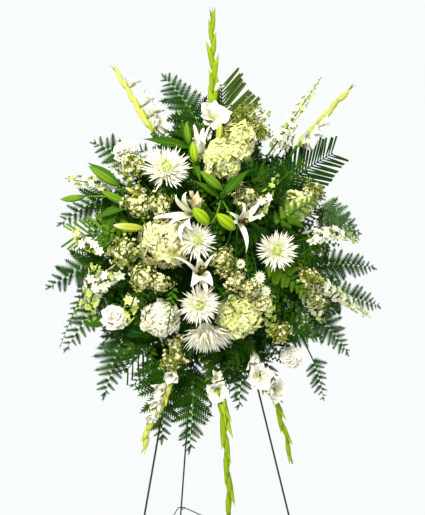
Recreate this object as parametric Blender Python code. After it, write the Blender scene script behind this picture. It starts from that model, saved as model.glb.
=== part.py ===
"""Standing funeral spray of white and green flowers on a folding wire easel.

Metres, +Z up, the front of the spray at -Y.

The three legs hang from one hinge pin. Every place in the spray is measured from that pin: to the
right, up, and forward. At the end the whole model is moved so that the middle of its box stands at
the origin, on the floor.
"""

import math
import random

import bmesh
import bpy
from mathutils import Vector
from mathutils.bvhtree import BVHTree

for old in list(bpy.data.objects):
    bpy.data.objects.remove(old)

GAP = 0.0003
BLADE = 0.0008
FROND_THICK = 0.0014
RIB_HALF = 0.0014
# How far round a new piece must be clear of the others
SWELL = 0.0005
# How far the end of a stalk runs into what it carries
INTO = 0.002
# A petal or bud that has no room is tried again at these smaller sizes
SIZES = (1.0, 0.8, 0.62)

# The easel: three legs of the same black wire
LEG_LENGTH = 1.372
SIDE_SLOPE = 0.2125
FRONT_SLOPE = 0.15
REAR_SLOPE = 0.314
WIRE = 0.0025
WIRE_SIDES = 8
EYE_RADIUS = 0.0075
EYE_WIDTH = 0.006
EYE_PITCH = 0.007
PIN_HEAD_RADIUS = 0.0048
PIN_HEAD_LENGTH = 0.0025
APEX = LEG_LENGTH / math.sqrt(1 + SIDE_SLOPE ** 2 + FRONT_SLOPE ** 2)
LEAN = math.atan(FRONT_SLOPE)
BOARD_UP = Vector((0, math.sin(LEAN), math.cos(LEAN)))
BOARD_OUT = Vector((0, -math.cos(LEAN), math.sin(LEAN)))

CROSSBAR_DROP = 0.956
CROSSBAR_WIRE = 0.002
CROSSBAR_OVERHANG = 0.006
SPREADER_WIRE = 0.0015
SPREADER_HALF_WIDTH = 0.195
SPREADER_FLAT = 0.017
SPREADER_EYE_WIDTH = 0.0034
SPREADER_EYE_RADIUS = 0.0048
LOOP_RADIUS = 0.0032

# The tray and the foam stand on the ledge, square to the front legs
FOAM_WIDTH = 0.200
FOAM_HEIGHT = 0.300
FOAM_DEPTH = 0.090
FOAM_TOP_DROP = 0.026
TRAY_WALL = 0.0022
TRAY_RIM = 0.022
RIB_HEIGHT = 0.004
RIB_WIDTH = 0.004
LEDGE_WIRE = 0.002
LEDGE_HALF_WIDTH = 0.088
LEDGE_LIP = 0.032
LEDGE_BEND = 0.005
TIE_DROP = 0.085
TIE_THICK = 0.0012
TIE_TALL = 0.004
TIE_REACH = 0.0075
HOLE_DEPTH = 0.024
THROUGH = 0.003
HOLE_PITCH = 0.020
HOLE_SPACE = 0.0115
SLANT = Vector((0.31, 0.77, 0.56)).normalized()
STEP_PAST = 0.00001
FOAM_BACK = WIRE + GAP + TRAY_WALL + RIB_HEIGHT + 2 * GAP
SIDE = Vector((1, 0, 0))

# Sideways bends that a stem may take, as shares of its length: none, then more and more
BENDS = [Vector((0, 0, 0))]
BENDS += [Vector((math.cos(turn), 0.35 * math.sin(2 * turn), math.sin(turn))) * size
          for size in (0.15, 0.3, 0.45) for turn in [math.pi * k / 4 for k in range(8)]]


def spot(right, up, forward):
    """A place in the spray, measured from the hinge pin."""
    return Vector((right, -forward, APEX + up))


def heading(right, up, forward):
    """A direction in the spray."""
    return Vector((right, -forward, up)).normalized()


def board(right, up, out):
    """A place measured in the leaning plane of the front legs, from the hinge pin."""
    return Vector((right, 0, APEX)) + BOARD_UP * up + BOARD_OUT * out


def finish(name, colour, roughness, metallic=0.0):
    """A plain material of one colour."""
    made = bpy.data.materials.new(name)
    made.use_nodes = True
    shader = made.node_tree.nodes["Principled BSDF"]
    shader.inputs["Base Color"].default_value = (*colour, 1.0)
    shader.inputs["Roughness"].default_value = roughness
    shader.inputs["Metallic"].default_value = metallic
    made.diffuse_color = (*colour, 1.0)
    return made


BLACK_WIRE = finish("black painted wire", (0.015, 0.015, 0.017), 0.45, 0.6)
STEEL = finish("steel pin", (0.45, 0.45, 0.46), 0.35, 1.0)
TRAY_PLASTIC = finish("green plastic", (0.02, 0.09, 0.04), 0.4)
FOAM = finish("wet floral foam", (0.03, 0.16, 0.07), 0.95)
WHITE_PETAL = finish("white petal", (0.93, 0.91, 0.85), 0.6)
CREAM_PETAL = finish("cream petal", (0.85, 0.86, 0.55), 0.65)
OLIVE_BUD = finish("olive bud", (0.52, 0.50, 0.20), 0.7)
BRIGHT_GREEN = finish("bright green", (0.30, 0.55, 0.05), 0.5)
FERN_GREEN = finish("fern green", (0.05, 0.26, 0.05), 0.55)
DARK_GREEN = finish("dark green", (0.02, 0.14, 0.04), 0.5)


def mesh_from(name, shape):
    """A mesh from points and faces."""
    mesh = bpy.data.meshes.new(name)
    mesh.from_pydata([tuple(point) for point in shape[0]], [], shape[1])
    mesh.update()
    return mesh


def show(name, shape, material, hinge=None, smooth=True):
    """One named object. A moving piece has its origin on its hinge."""
    origin = Vector(hinge) if hinge else Vector((0, 0, 0))
    mesh = mesh_from(name, ([point - origin for point in shape[0]], shape[1]))
    made = bpy.data.objects.new(name, mesh)
    made.location = origin
    bpy.context.scene.collection.objects.link(made)
    mesh.materials.append(material)
    if smooth:
        mesh.shade_smooth()
        mesh.set_sharp_from_angle(angle=math.radians(40))
    return made


def tube(path, radii, sides=4, turn=0.0):
    """A round stem along the path, closed at its ends. A last radius of zero makes a point."""
    if not isinstance(radii, (list, tuple)):
        radii = [radii] * len(path)
    points = []
    faces = []
    rings = []
    across = None
    for index, centre in enumerate(path):
        along = (path[min(index + 1, len(path) - 1)] - path[max(index - 1, 0)]).normalized()
        across = along.orthogonal() if across is None else across - along * across.dot(along)
        across.normalize()
        other = along.cross(across)
        first = len(points)
        if radii[index] == 0:
            points.append(Vector(centre))
            rings.append([first])
            continue
        for side in range(sides):
            angle = turn + 2 * math.pi * side / sides
            points.append(centre + (across * math.cos(angle) + other * math.sin(angle)) * radii[index])
        rings.append(list(range(first, first + sides)))
    for low, high in zip(rings, rings[1:]):
        for side in range(sides):
            following = (side + 1) % sides
            if len(high) == 1:
                faces.append((low[side], low[following], high[0]))
            else:
                faces.append((low[side], low[following], high[following], high[side]))
    faces.append(tuple(reversed(rings[0])))
    if len(rings[-1]) > 1:
        faces.append(tuple(rings[-1]))
    return points, faces


def ring(centre, axis, inner, outer, width, sides=12):
    """A flat-sided ring, such as an eye bent at the end of a wire."""
    across = axis.orthogonal().normalized()
    other = axis.cross(across)
    points = []
    for reach, shift in ((inner, -1), (outer, -1), (outer, 1), (inner, 1)):
        for side in range(sides):
            angle = 2 * math.pi * side / sides
            around = across * math.cos(angle) + other * math.sin(angle)
            points.append(centre + around * reach + axis * (shift * width / 2))
    faces = []
    for row in range(4):
        following_row = (row + 1) % 4
        for side in range(sides):
            following = (side + 1) % sides
            faces.append((row * sides + side, row * sides + following,
                          following_row * sides + following, following_row * sides + side))
    return points, faces


def block(place, rights, ups, outs):
    """A box between three pairs of limits, in the coordinates of the given place function."""
    points = [place(right, up, out) for out in outs for up in ups for right in rights]
    faces = [(0, 2, 3, 1), (4, 5, 7, 6), (0, 1, 5, 4), (2, 6, 7, 3), (0, 4, 6, 2), (1, 3, 7, 5)]
    return points, faces


def ball(centre, radius, subdivisions):
    """A ball of small triangles."""
    work = bmesh.new()
    bmesh.ops.create_icosphere(work, subdivisions=subdivisions, radius=radius)
    points = [centre + vertex.co for vertex in work.verts]
    faces = [tuple(vertex.index for vertex in face.verts) for face in work.faces]
    work.free()
    return points, faces


def thicken(points, triangles, thickness):
    """A closed solid from an open sheet of triangles, split alike on both of its faces."""
    normals = [Vector() for _ in points]
    for a, b, c in triangles:
        normal = (points[b] - points[a]).cross(points[c] - points[a])
        for corner in (a, b, c):
            normals[corner] += normal
    lift = [normal.normalized() * (thickness / 2) for normal in normals]
    count = len(points)
    solid = [point + up for point, up in zip(points, lift)]
    solid += [point - up for point, up in zip(points, lift)]
    faces = list(triangles) + [(c + count, b + count, a + count) for a, b, c in triangles]
    edges = {pair for a, b, c in triangles for pair in ((a, b), (b, c), (c, a))}
    for a, b in sorted(edges):
        if (b, a) not in edges:
            faces.append((b, a, a + count))
            faces.append((b, a + count, b + count))
    return solid, faces


def blade(rows, thickness=BLADE):
    """A leaf or petal from rows of points across it, from its foot to its tip."""
    points = [point for row in rows for point in row]
    triangles = []
    first = 0
    for low, high in zip(rows, rows[1:]):
        second = first + len(low)
        if len(low) == 1:
            triangles += [(first, second + k + 1, second + k) for k in range(len(high) - 1)]
        elif len(high) == 1:
            triangles += [(first + k, first + k + 1, second) for k in range(len(low) - 1)]
        else:
            for k in range(len(low) - 1):
                triangles.append((first + k, first + k + 1, second + k + 1))
                triangles.append((first + k, second + k + 1, second + k))
        first = second
    return thicken(points, triangles, thickness)


def leaf(foot, along, face, length, widths, curl=0.0, fold=0.0, ribbed=True):
    """A blade with half widths at even steps, where zero is a point. It curls towards its face."""
    along = along.normalized()
    face = (face - along * face.dot(along)).normalized()
    side = along.cross(face)
    steps = len(widths) - 1
    centre = Vector(foot)
    rows = []
    for index, width in enumerate(widths):
        turn = curl * index / steps
        up = face * math.cos(turn) - along * math.sin(turn)
        if width == 0:
            rows.append([centre.copy()])
        else:
            edge = up * (fold * width)
            row = [centre - side * width + edge, centre + side * width + edge]
            rows.append([row[0], centre.copy(), row[1]] if ribbed else row)
        middle = curl * (index + 0.5) / steps
        centre = centre + (along * math.cos(middle) + face * math.sin(middle)) * (length / steps)
    return blade(rows)


def star(centre, axis, radius, depth, lobes=4, notch=0.6, dish=0.3, turn=0.0, ruffle=0.0):
    """An open flower: lobes round a sunk middle, closed behind by a cone to its foot."""
    across = axis.orthogonal().normalized()
    other = axis.cross(across)
    points = [centre - axis * (depth * dish), centre - axis * depth]
    plain = notch == 1
    count = lobes if plain else 2 * lobes
    for index in range(count):
        angle = turn + 2 * math.pi * index / count
        lobe = plain or index % 2 == 0
        reach = radius if lobe else radius * notch
        lift = ruffle if lobe else -ruffle
        around = across * math.cos(angle) + other * math.sin(angle)
        points.append(centre + around * reach + axis * lift)
    faces = []
    for index in range(count):
        following = (index + 1) % count
        faces.append((0, 2 + index, 2 + following))
        faces.append((1, 2 + following, 2 + index))
    return points, faces


def pair_ends(foot, way, face, lengths, sweep, blunt):
    """The ends of two leaflets, to the right and the left of a rib: a point each, or a short edge."""
    face = (face - way * face.dot(way)).normalized()
    side = way.cross(face)
    ends = []
    for sign, length in zip((1, -1), lengths):
        along = (side * sign + way * sweep).normalized()
        end = foot + along * length - face * (length * 0.18)
        broad = along.cross(face) * (-sign * blunt)
        ends += [end - broad, end + broad] if blunt else [end]
    return ends


def frond(path, face, pairs, clear):
    """A frond cut from one sheet: a narrow rib with a leaflet out of each side at every pair."""
    points = []
    triangles = []
    length = sum((b - a).length for a, b in zip(path, path[1:]))

    def add_row(share):
        place, way = on_path(path, share)
        side = way.cross(face).normalized() * (RIB_HALF * (1 - 0.6 * share))
        points.extend([place - side, place + side])

    def add_strip():
        low = len(points) - 4
        triangles.extend([(low, low + 1, low + 3), (low, low + 3, low + 2)])

    add_row(0)
    last = 0
    for share, size, half, sweep, blunt in pairs:
        foot, way = on_path(path, share)
        add_row(share - half / length)
        triangles.extend([(last, last + 1, len(points) - 1), (last, len(points) - 1, len(points) - 2)])
        add_row(share + half / length)
        add_strip()
        left_low, right_low, left_high, right_high = range(len(points) - 4, len(points))
        last = left_high
        first = len(points)
        if blunt:
            leaves = [(right_low, first, first + 1), (right_low, first + 1, right_high),
                      (left_low, left_high, first + 3), (left_low, first + 3, first + 2)]
        else:
            leaves = [(right_low, first, right_high), (left_low, left_high, first + 1)]
        for right, left in ((1.0, 1.0), (1.0, 0.35), (0.35, 1.0), (0.6, 0.6), (0.35, 0.35)):
            ends = pair_ends(foot, way, face, (size * right, size * left), sweep, blunt)
            local = points[left_low:] + ends
            solid = [tuple(corner - left_low for corner in corners) for corners in triangles[-2:] + leaves]
            if clear(thicken(local, solid, FROND_THICK)):
                points += ends
                triangles += leaves
                break
    points.append(path[-1])
    triangles.append((last, last + 1, len(points) - 1))
    return thicken(points, triangles, FROND_THICK)


def frond_pairs(path, width, count, narrowing, sweep, blunt=0.0):
    """The rows of a frond: the share of the way along, the length, half base and sweep of each pair."""
    length = sum((b - a).length for a, b in zip(path, path[1:]))
    pairs = []
    for index in range(count):
        share = (index + 0.45) / count
        size = width * (1 - narrowing * share)
        half = 0.0035 if blunt else min(size * 0.12 + 0.003, 0.40 * length / count)
        pairs.append((share, size, half, sweep * (1 + share), blunt))
    return pairs


def skirt(low, high):
    """Faces from one loop of corners up to the next, which may have as many, twice as many, or one."""
    faces = []
    for k, corner in enumerate(low):
        n = (k + 1) % len(low)
        if len(high) == 1:
            faces.append((corner, low[n], high[0]))
        elif len(high) == len(low):
            faces += [(corner, low[n], high[n]), (corner, high[n], high[k])]
        else:
            after = high[(2 * k + 2) % len(high)]
            faces += [(corner, high[2 * k + 1], high[2 * k]), (corner, low[n], high[2 * k + 1]),
                      (low[n], after, high[2 * k + 1])]
    return faces


def stud(base, rings):
    """A closed solid from the corners of its base up through its rings."""
    points = list(base)
    below = list(range(len(base)))
    faces = [tuple(reversed(below))]
    for loop in rings:
        above = list(range(len(points), len(points) + len(loop)))
        points += loop
        faces += skirt(below, above)
        below = above
    return points, faces


def studded(core, studs, clear):
    """The core with a stud raised from each chosen face, at the largest size that stands clear."""
    points = list(core[0])
    faces = []
    for index, corners in enumerate(core[1]):
        base = [core[0][corner] for corner in corners]
        rings = next((rings for rings in studs.get(index, []) if clear(stud(base, rings))), None)
        if rings is None:
            faces.append(corners)
            continue
        raised = stud(base, rings)
        shift = len(points) - len(base)
        points += raised[0][len(base):]
        faces += [tuple(corners[k] if k < len(base) else shift + k for k in face) for face in raised[1][1:]]
    return points, faces


def chosen_faces(core, centre, ways):
    """For each direction, the face of the core that looks that way most, each face only once."""
    middles = [sum((core[0][corner] for corner in face), Vector()) / len(face) for face in core[1]]
    left = list(range(len(middles)))
    chosen = []
    for way in ways:
        best = max(left, key=lambda index: (middles[index] - centre).normalized().dot(way))
        left.remove(best)
        chosen.append((best, middles[best], [core[0][corner] for corner in core[1][best]]))
    return chosen


def square_ball(centre, radius, facing):
    """A ball of twenty-four four-sided faces, with one of its flat sides turned to the front."""
    work = bmesh.new()
    bmesh.ops.create_cube(work, size=2)
    bmesh.ops.subdivide_edges(work, edges=work.edges, cuts=1, use_grid_fill=True)
    turn = facing.to_track_quat("Z", "Y")
    points = [centre + turn @ (vertex.co.normalized() * radius) for vertex in work.verts]
    faces = [tuple(vertex.index for vertex in face.verts) for face in work.faces]
    work.free()
    return points, faces


def smaller_choices(foot, shape):
    """A shape at its full size, and twice smaller, drawn in towards its foot."""
    return [([foot + (point - foot) * size for point in shape[0]], shape[1]) for size in SIZES]


def bud(foot, axis, length, radius, sides=3):
    """A closed bud, widest a little below its middle."""
    axis = axis.normalized()
    path = [foot, foot + axis * (length * 0.42), foot + axis * length]
    return tube(path, [radius * 0.45, radius, 0], sides, 0.5)


def bezier(first, second, third, fourth, steps):
    """Points along a cubic curve, without its first point."""
    curve = []
    for index in range(1, steps + 1):
        t = index / steps
        curve.append(first * (1 - t) ** 3 + second * (3 * t * (1 - t) ** 2)
                     + third * (3 * t * t * (1 - t)) + fourth * t ** 3)
    return curve


def smooth_path(points, steps):
    """A smooth curve through the points, with the same number of steps in each span."""
    ends = [points[0] * 2 - points[1]] + list(points) + [points[-1] * 2 - points[-2]]
    curve = [Vector(points[0])]
    for before, start, stop, after in zip(ends, ends[1:], ends[2:], ends[3:]):
        curve += bezier(start, start + (stop - before) / 6, stop - (after - start) / 6, stop, steps)
    return curve


def rounded(points, radius, steps=3):
    """The same corners, each rounded as bent wire is."""
    path = [points[0]]
    for before, corner, after in zip(points, points[1:], points[2:]):
        start = corner + (before - corner).normalized() * radius
        stop = corner + (after - corner).normalized() * radius
        path.append(start)
        path += bezier(start, corner.lerp(start, 0.45), corner.lerp(stop, 0.45), stop, steps)
    return path + [points[-1]]


# What already stands in the spray, so that each new piece is bent or trimmed clear of it

class Standing:
    """The closed surface of a placed shape, with its box, for testing what would touch it."""

    def __init__(self, shape, margin=0.0):
        points, faces = shape
        normals = [Vector() for _ in points]
        for face in faces:
            a, b, c = points[face[0]], points[face[1]], points[face[2]]
            normal = (b - a).cross(c - a).normalized()
            for corner in face:
                normals[corner] += normal
        grown = [point + normal.normalized() * margin for point, normal in zip(points, normals)]
        self.tree = BVHTree.FromPolygons(grown, faces)
        self.first = grown[0]
        self.low = [min(point[axis] for point in grown) for axis in range(3)]
        self.high = [max(point[axis] for point in grown) for axis in range(3)]

    def meets(self, other):
        """True where the two surfaces cross, or one lies inside the other."""
        for axis in range(3):
            if self.low[axis] > other.high[axis] or other.low[axis] > self.high[axis]:
                return False
        return bool(self.tree.overlap(other.tree)) or self.holds(other) or other.holds(self)

    def holds(self, other):
        """True where the other shape, which crosses none of these faces, is wholly inside them."""
        for axis in range(3):
            if other.low[axis] < self.low[axis] or other.high[axis] > self.high[axis]:
                return False
        place = other.first
        crossings = 0
        while True:
            hit = self.tree.ray_cast(place, SLANT)[0]
            if hit is None:
                return crossings % 2 == 1
            crossings += 1
            place = hit + SLANT * STEP_PAST


PLACED = {}
PLANTS = []
HOLES = []


def blocked(shapes, name):
    """The name of something placed that one of the shapes would touch, or None."""
    grown = [Standing(shape, SWELL) for shape in shapes]
    for other, solids in PLACED.items():
        if other != name and any(solid.meets(shape) for solid in solids for shape in grown):
            return other
    return None


def reserve(name, shapes):
    """Set the first solid shapes of a plant in place, before any stem is bent round them."""
    hit = blocked(shapes, name)
    if hit:
        print("crowded", name, "meets", hit)
    PLACED.setdefault(name, []).extend(Standing(shape) for shape in shapes)


def foam_spots():
    """Each spot on the foam where a stem may enter, with the way out of that face."""
    columns = [(k - 3.5) * HOLE_PITCH for k in range(8)]
    rows = [(k - 6) * HOLE_PITCH for k in range(13)]
    layers = [FOAM_DEPTH * 0.22, FOAM_DEPTH * 0.45, FOAM_DEPTH * 0.68]
    spots = [(column, row, FOAM_DEPTH, BOARD_OUT) for row in rows for column in columns]
    for layer in layers:
        spots += [(sign * FOAM_WIDTH / 2, row, layer, SIDE * sign) for row in rows for sign in (-1, 1)]
        spots += [(column, sign * FOAM_HEIGHT / 2, layer, BOARD_UP * sign)
                  for column in columns for sign in (-1, 1)]
    middle = -(FOAM_TOP_DROP + FOAM_HEIGHT / 2)
    return [(board(right, middle + up, FOAM_BACK + out), way) for right, up, out, way in spots
            if out > TRAY_RIM or way == BOARD_OUT]


FREE_SPOTS = foam_spots()


def hole_is_free(root, out):
    """True where a new hole keeps some foam between itself and each hole already made."""
    new = [root - out * (HOLE_DEPTH * k / 6) for k in range(7)]
    for other_root, other_out, _ in HOLES:
        old = [other_root - other_out * (HOLE_DEPTH * k / 6) for k in range(7)]
        if min((a - b).length for a in new for b in old) < HOLE_SPACE:
            return False
    return True


def stem(name, end, arrive, radius, sides=4, steps=3):
    """A stem from the best free hole in the foam to its flower, bent clear of the rest."""
    def cost(place):
        straight = end - place[0]
        return straight.length * (1 + 1.3 * (1 - straight.normalized().dot(place[1])))

    tried = 0
    for root, out in sorted(FREE_SPOTS, key=cost):
        if not hole_is_free(root, out):
            continue
        tried += 1
        if tried > 40:
            break
        for bend in BENDS:
            start = root + out * 0.004
            reach = (end - start).length
            curve = bezier(start, start + out * (reach * 0.25) + bend * reach,
                           end - arrive * (reach * 0.3) + bend * reach, end, steps)
            if blocked([tube([root + out * 0.002, start] + curve, radius, sides)], name):
                continue
            FREE_SPOTS.remove((root, out))
            HOLES.append((root, out, radius))
            path = [root - out * HOLE_DEPTH, start] + curve
            PLACED.setdefault(name, []).append(Standing(tube(path, radius, sides)))
            return path
    raise ValueError("no clear way for the stem of " + name)


def branch(name, start, end, leave, arrive, radii, sides=4):
    """A side branch from start to end, bent clear of the rest, as its path and its shape."""
    reach = (end - start).length
    steps = len(radii) - 1
    for bend in BENDS:
        curve = bezier(start, start + leave * (reach * 0.33) + bend * reach,
                       end - arrive * (reach * 0.33) + bend * reach, end, steps)
        shape = tube([start] + curve, radii, sides)
        if not blocked([shape], name):
            break
    else:
        print("crowded branch", name, "meets", blocked([shape], name))
    PLACED.setdefault(name, []).append(Standing(shape))
    return [start] + curve, shape


def plant(name, material, shapes, growers):
    """Remember a plant's fixed shapes, and the functions that grow its petals or leaflets later."""
    PLANTS.append((name, material, shapes, growers))


def separate(repeats):
    """A grower of separate petals or bells, each given by its shapes, the best first."""
    def grow(clear):
        found = [next((shape for shape in choices if clear(shape)), None) for choices in repeats]
        return [shape for shape in found if shape]
    return grow


def largest_piece(mesh):
    """Keep the outer skin of the largest piece: a loose scrap or a sealed hollow goes."""
    work = bmesh.new()
    work.from_mesh(mesh)
    unseen = set(work.verts)
    pieces = []
    while unseen:
        waiting = [unseen.pop()]
        piece = []
        while waiting:
            vertex = waiting.pop()
            piece.append(vertex)
            for edge in vertex.link_edges:
                other = edge.other_vert(vertex)
                if other in unseen:
                    unseen.remove(other)
                    waiting.append(other)
        spread = sum(max(vertex.co[axis] for vertex in piece) - min(vertex.co[axis] for vertex in piece)
                     for axis in range(3))
        pieces.append((spread, piece))
    pieces.sort(key=lambda pair: -pair[0])
    for _, piece in pieces[1:]:
        bmesh.ops.delete(work, geom=piece, context="VERTS")
    bmesh.ops.triangulate(work, faces=work.faces)
    work.to_mesh(mesh)
    work.free()


def settle(made, others):
    """Apply the object's Boolean and remove what it joined or cut with."""
    evaluated = made.evaluated_get(bpy.context.evaluated_depsgraph_get())
    result = bpy.data.meshes.new_from_object(evaluated)
    made.modifiers.clear()
    made.data = result
    for other in list(others.objects):
        bpy.data.objects.remove(other)
    bpy.data.collections.remove(others)


def gather(name, shapes):
    """The shapes as hidden wire objects in a collection of their own, for a Boolean."""
    others = bpy.data.collections.new(name)
    bpy.context.scene.collection.children.link(others)
    for shape in shapes:
        other = bpy.data.objects.new(name, mesh_from(name, shape))
        other.hide_render = True
        other.display_type = "WIRE"
        others.objects.link(other)
    return others


def fuse(name, shapes, material, hinge=None, smooth=True):
    """One object from several shapes, joined by a Boolean union."""
    made = show(name, shapes[0], material)
    others = gather(name + " joined", shapes[1:])
    join = made.modifiers.new("join", "BOOLEAN")
    join.operation = "UNION"
    join.operand_type = "COLLECTION"
    join.collection = others
    join.solver = "MANIFOLD"
    settle(made, others)
    largest_piece(made.data)
    joined = ([vertex.co.copy() for vertex in made.data.vertices],
              [tuple(face.vertices) for face in made.data.polygons])
    bpy.data.objects.remove(made)
    return show(name, joined, material, hinge, smooth), joined


def grow_all():
    """Give every plant the petals and leaflets that stand clear of the others, and join it."""
    for name, material, shapes, growers in PLANTS:
        for grower in growers:
            shapes = shapes + grower(lambda shape: blocked([shape], name) is None)
        joined = fuse(name, shapes, material)[1]
        PLACED[name] = [Standing(joined)]


# The easel

def leg_from(eye, way):
    """One leg: an eye round the pin, and a straight wire cut level at the floor."""
    end = eye + way * (APEX / -way.z)
    points, faces = tube([eye + way * (EYE_RADIUS * 0.8), end], WIRE, WIRE_SIDES)
    for point in points[WIRE_SIDES:]:
        point += way * (-point.z / way.z)
    return [ring(eye, SIDE, WIRE + GAP, EYE_RADIUS, EYE_WIDTH), (points, faces)]


def build_easel():
    """The three legs on their pin, the crossbar, the ledge and the spreader."""
    apex = Vector((0, 0, APEX))
    ways = {
        "easel_left_leg": (-EYE_PITCH, Vector((-SIDE_SLOPE, -FRONT_SLOPE, -1)).normalized()),
        "easel_right_leg": (EYE_PITCH, Vector((SIDE_SLOPE, -FRONT_SLOPE, -1)).normalized()),
        "easel_rear_leg": (0.0, Vector((0, REAR_SLOPE, -1)).normalized()),
    }
    for name, (shift, way) in ways.items():
        shapes = leg_from(apex + SIDE * shift, way)
        fuse(name, shapes, BLACK_WIRE, hinge=apex)
        PLACED[name] = [Standing(shape) for shape in shapes]
    pin_half = EYE_PITCH + EYE_WIDTH / 2 + GAP
    overlap = PIN_HEAD_LENGTH / 2
    pin = tube([apex - SIDE * (pin_half + overlap), apex + SIDE * (pin_half + overlap)], WIRE, 12)
    heads = [tube([apex + SIDE * (sign * pin_half), apex + SIDE * (sign * (pin_half + PIN_HEAD_LENGTH))],
                  PIN_HEAD_RADIUS, 12) for sign in (-1, 1)]
    fuse("easel_hinge_pin", [pin] + heads, STEEL)
    build_crossbar_and_spreader()
    build_ledge()


def leg_half_width(drop):
    """How far to the side a front leg stands, at this drop below the pin."""
    return EYE_PITCH + SIDE_SLOPE * drop


def build_crossbar_and_spreader():
    """A bar welded behind the front legs, and the V of wire that turns on it and stays the rear leg."""
    behind = WIRE + CROSSBAR_WIRE + GAP
    middle = board(0, -CROSSBAR_DROP / math.cos(LEAN), -behind)
    half = leg_half_width(CROSSBAR_DROP) + CROSSBAR_OVERHANG
    bar = tube([middle - SIDE * half, middle + SIDE * half], CROSSBAR_WIRE, WIRE_SIDES)
    show("easel_crossbar", bar, BLACK_WIRE)
    rear_slant = math.atan(REAR_SLOPE)
    vertex_y = (REAR_SLOPE * (APEX - middle.z)
                + (WIRE + SPREADER_WIRE + 2 * GAP) / math.cos(rear_slant))
    level = middle.z
    eyes = [Vector((sign * SPREADER_HALF_WIDTH, middle.y, level)) for sign in (-1, 1)]
    flat = [Vector((sign * SPREADER_FLAT / 2, vertex_y, level)) for sign in (-1, 1)]
    starts = [eye + (corner - eye).normalized() * (SPREADER_EYE_RADIUS * 0.75)
              for eye, corner in zip(eyes, flat)]
    path = rounded([starts[0], flat[0], flat[1], starts[1]], 0.004, 2)
    arms = tube(path, SPREADER_WIRE, 6)
    rings = [ring(eye, SIDE, CROSSBAR_WIRE + GAP, SPREADER_EYE_RADIUS, SPREADER_EYE_WIDTH, 10)
             for eye in eyes]
    loop_middle = flat[1] + Vector((-0.001, 0.0, -LOOP_RADIUS))
    turns = [loop_middle + Vector((math.sin(angle) * LOOP_RADIUS, 0, math.cos(angle) * LOOP_RADIUS))
             for angle in [math.radians(20 + 45 * k) for k in range(8)]]
    loop = tube(turns, SPREADER_WIRE * 0.8, 5)
    fuse("easel_spreader", [arms] + rings + [loop], BLACK_WIRE, hinge=middle)


def build_ledge():
    """One bent wire across the front legs, with two arms that carry the tray and end in a lip."""
    drop = FOAM_TOP_DROP + FOAM_HEIGHT + TRAY_WALL + 2 * GAP + LEDGE_WIRE
    back = WIRE + LEDGE_WIRE + GAP
    front = FOAM_BACK + FOAM_DEPTH + LEDGE_WIRE + 2 * GAP
    corners = []
    for sign in (-1, 1):
        arm = [board(sign * LEDGE_HALF_WIDTH, -drop + LEDGE_LIP, front),
               board(sign * LEDGE_HALF_WIDTH, -drop, front),
               board(sign * LEDGE_HALF_WIDTH, -drop, back)]
        corners += arm if sign < 0 else arm[::-1]
    shape = tube(rounded(corners, LEDGE_BEND, 2), LEDGE_WIRE, WIRE_SIDES)
    show("easel_ledge", shape, BLACK_WIRE)
    PLACED["easel_ledge"] = [Standing(shape)]


# The tray, the ties and the foam

def build_tray():
    """A plate with a rim and four ribs, slotted for the ties."""
    back = WIRE + GAP
    half = FOAM_WIDTH / 2 + GAP + TRAY_WALL
    top = -FOAM_TOP_DROP + GAP + TRAY_WALL
    bottom = -FOAM_TOP_DROP - FOAM_HEIGHT - GAP - TRAY_WALL
    rim_front = FOAM_BACK + TRAY_RIM
    shapes = [block(board, (-half, half), (bottom, top), (back, back + TRAY_WALL)),
              block(board, (-half, TRAY_WALL - half), (bottom, top), (back + TRAY_WALL / 2, rim_front)),
              block(board, (half - TRAY_WALL, half), (bottom, top), (back + TRAY_WALL / 2, rim_front)),
              block(board, (-half, half), (bottom, bottom + TRAY_WALL), (back + TRAY_WALL / 2, rim_front)),
              block(board, (-half, half), (top - TRAY_WALL, top), (back + TRAY_WALL / 2, rim_front))]
    for share in (0.12, 0.42, 0.68, 0.90):
        rib = -FOAM_TOP_DROP - FOAM_HEIGHT * share
        shapes.append(block(board, (-half + TRAY_WALL / 2, half - TRAY_WALL / 2),
                            (rib - RIB_WIDTH / 2, rib + RIB_WIDTH / 2),
                            (back + TRAY_WALL / 2, FOAM_BACK - GAP)))
    tray = fuse("foam_tray", shapes, TRAY_PLASTIC, smooth=False)[0]
    PLACED["foam_tray"] = [Standing(shape) for shape in shapes]
    slots = []
    leg = leg_half_width(TIE_DROP * math.cos(LEAN))
    for sign in (-1, 1):
        for side in (-1, 1):
            middle = sign * leg + side * TIE_REACH
            wide = TIE_THICK / 2 + 2 * GAP
            tall = TIE_TALL / 2 + 2 * GAP
            slots.append(block(board, (middle - wide, middle + wide), (-TIE_DROP - tall, -TIE_DROP + tall),
                               (back - THROUGH, back + TRAY_WALL + THROUGH)))
    cut_away(tray, slots)


def cut_away(made, shapes):
    """Cut every one of the shapes out of the object."""
    cutters = gather(made.name + " cutter", shapes)
    cut = made.modifiers.new("cut", "BOOLEAN")
    cut.operation = "DIFFERENCE"
    cut.operand_type = "COLLECTION"
    cut.collection = cutters
    cut.solver = "EXACT"
    settle(made, cutters)


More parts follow.
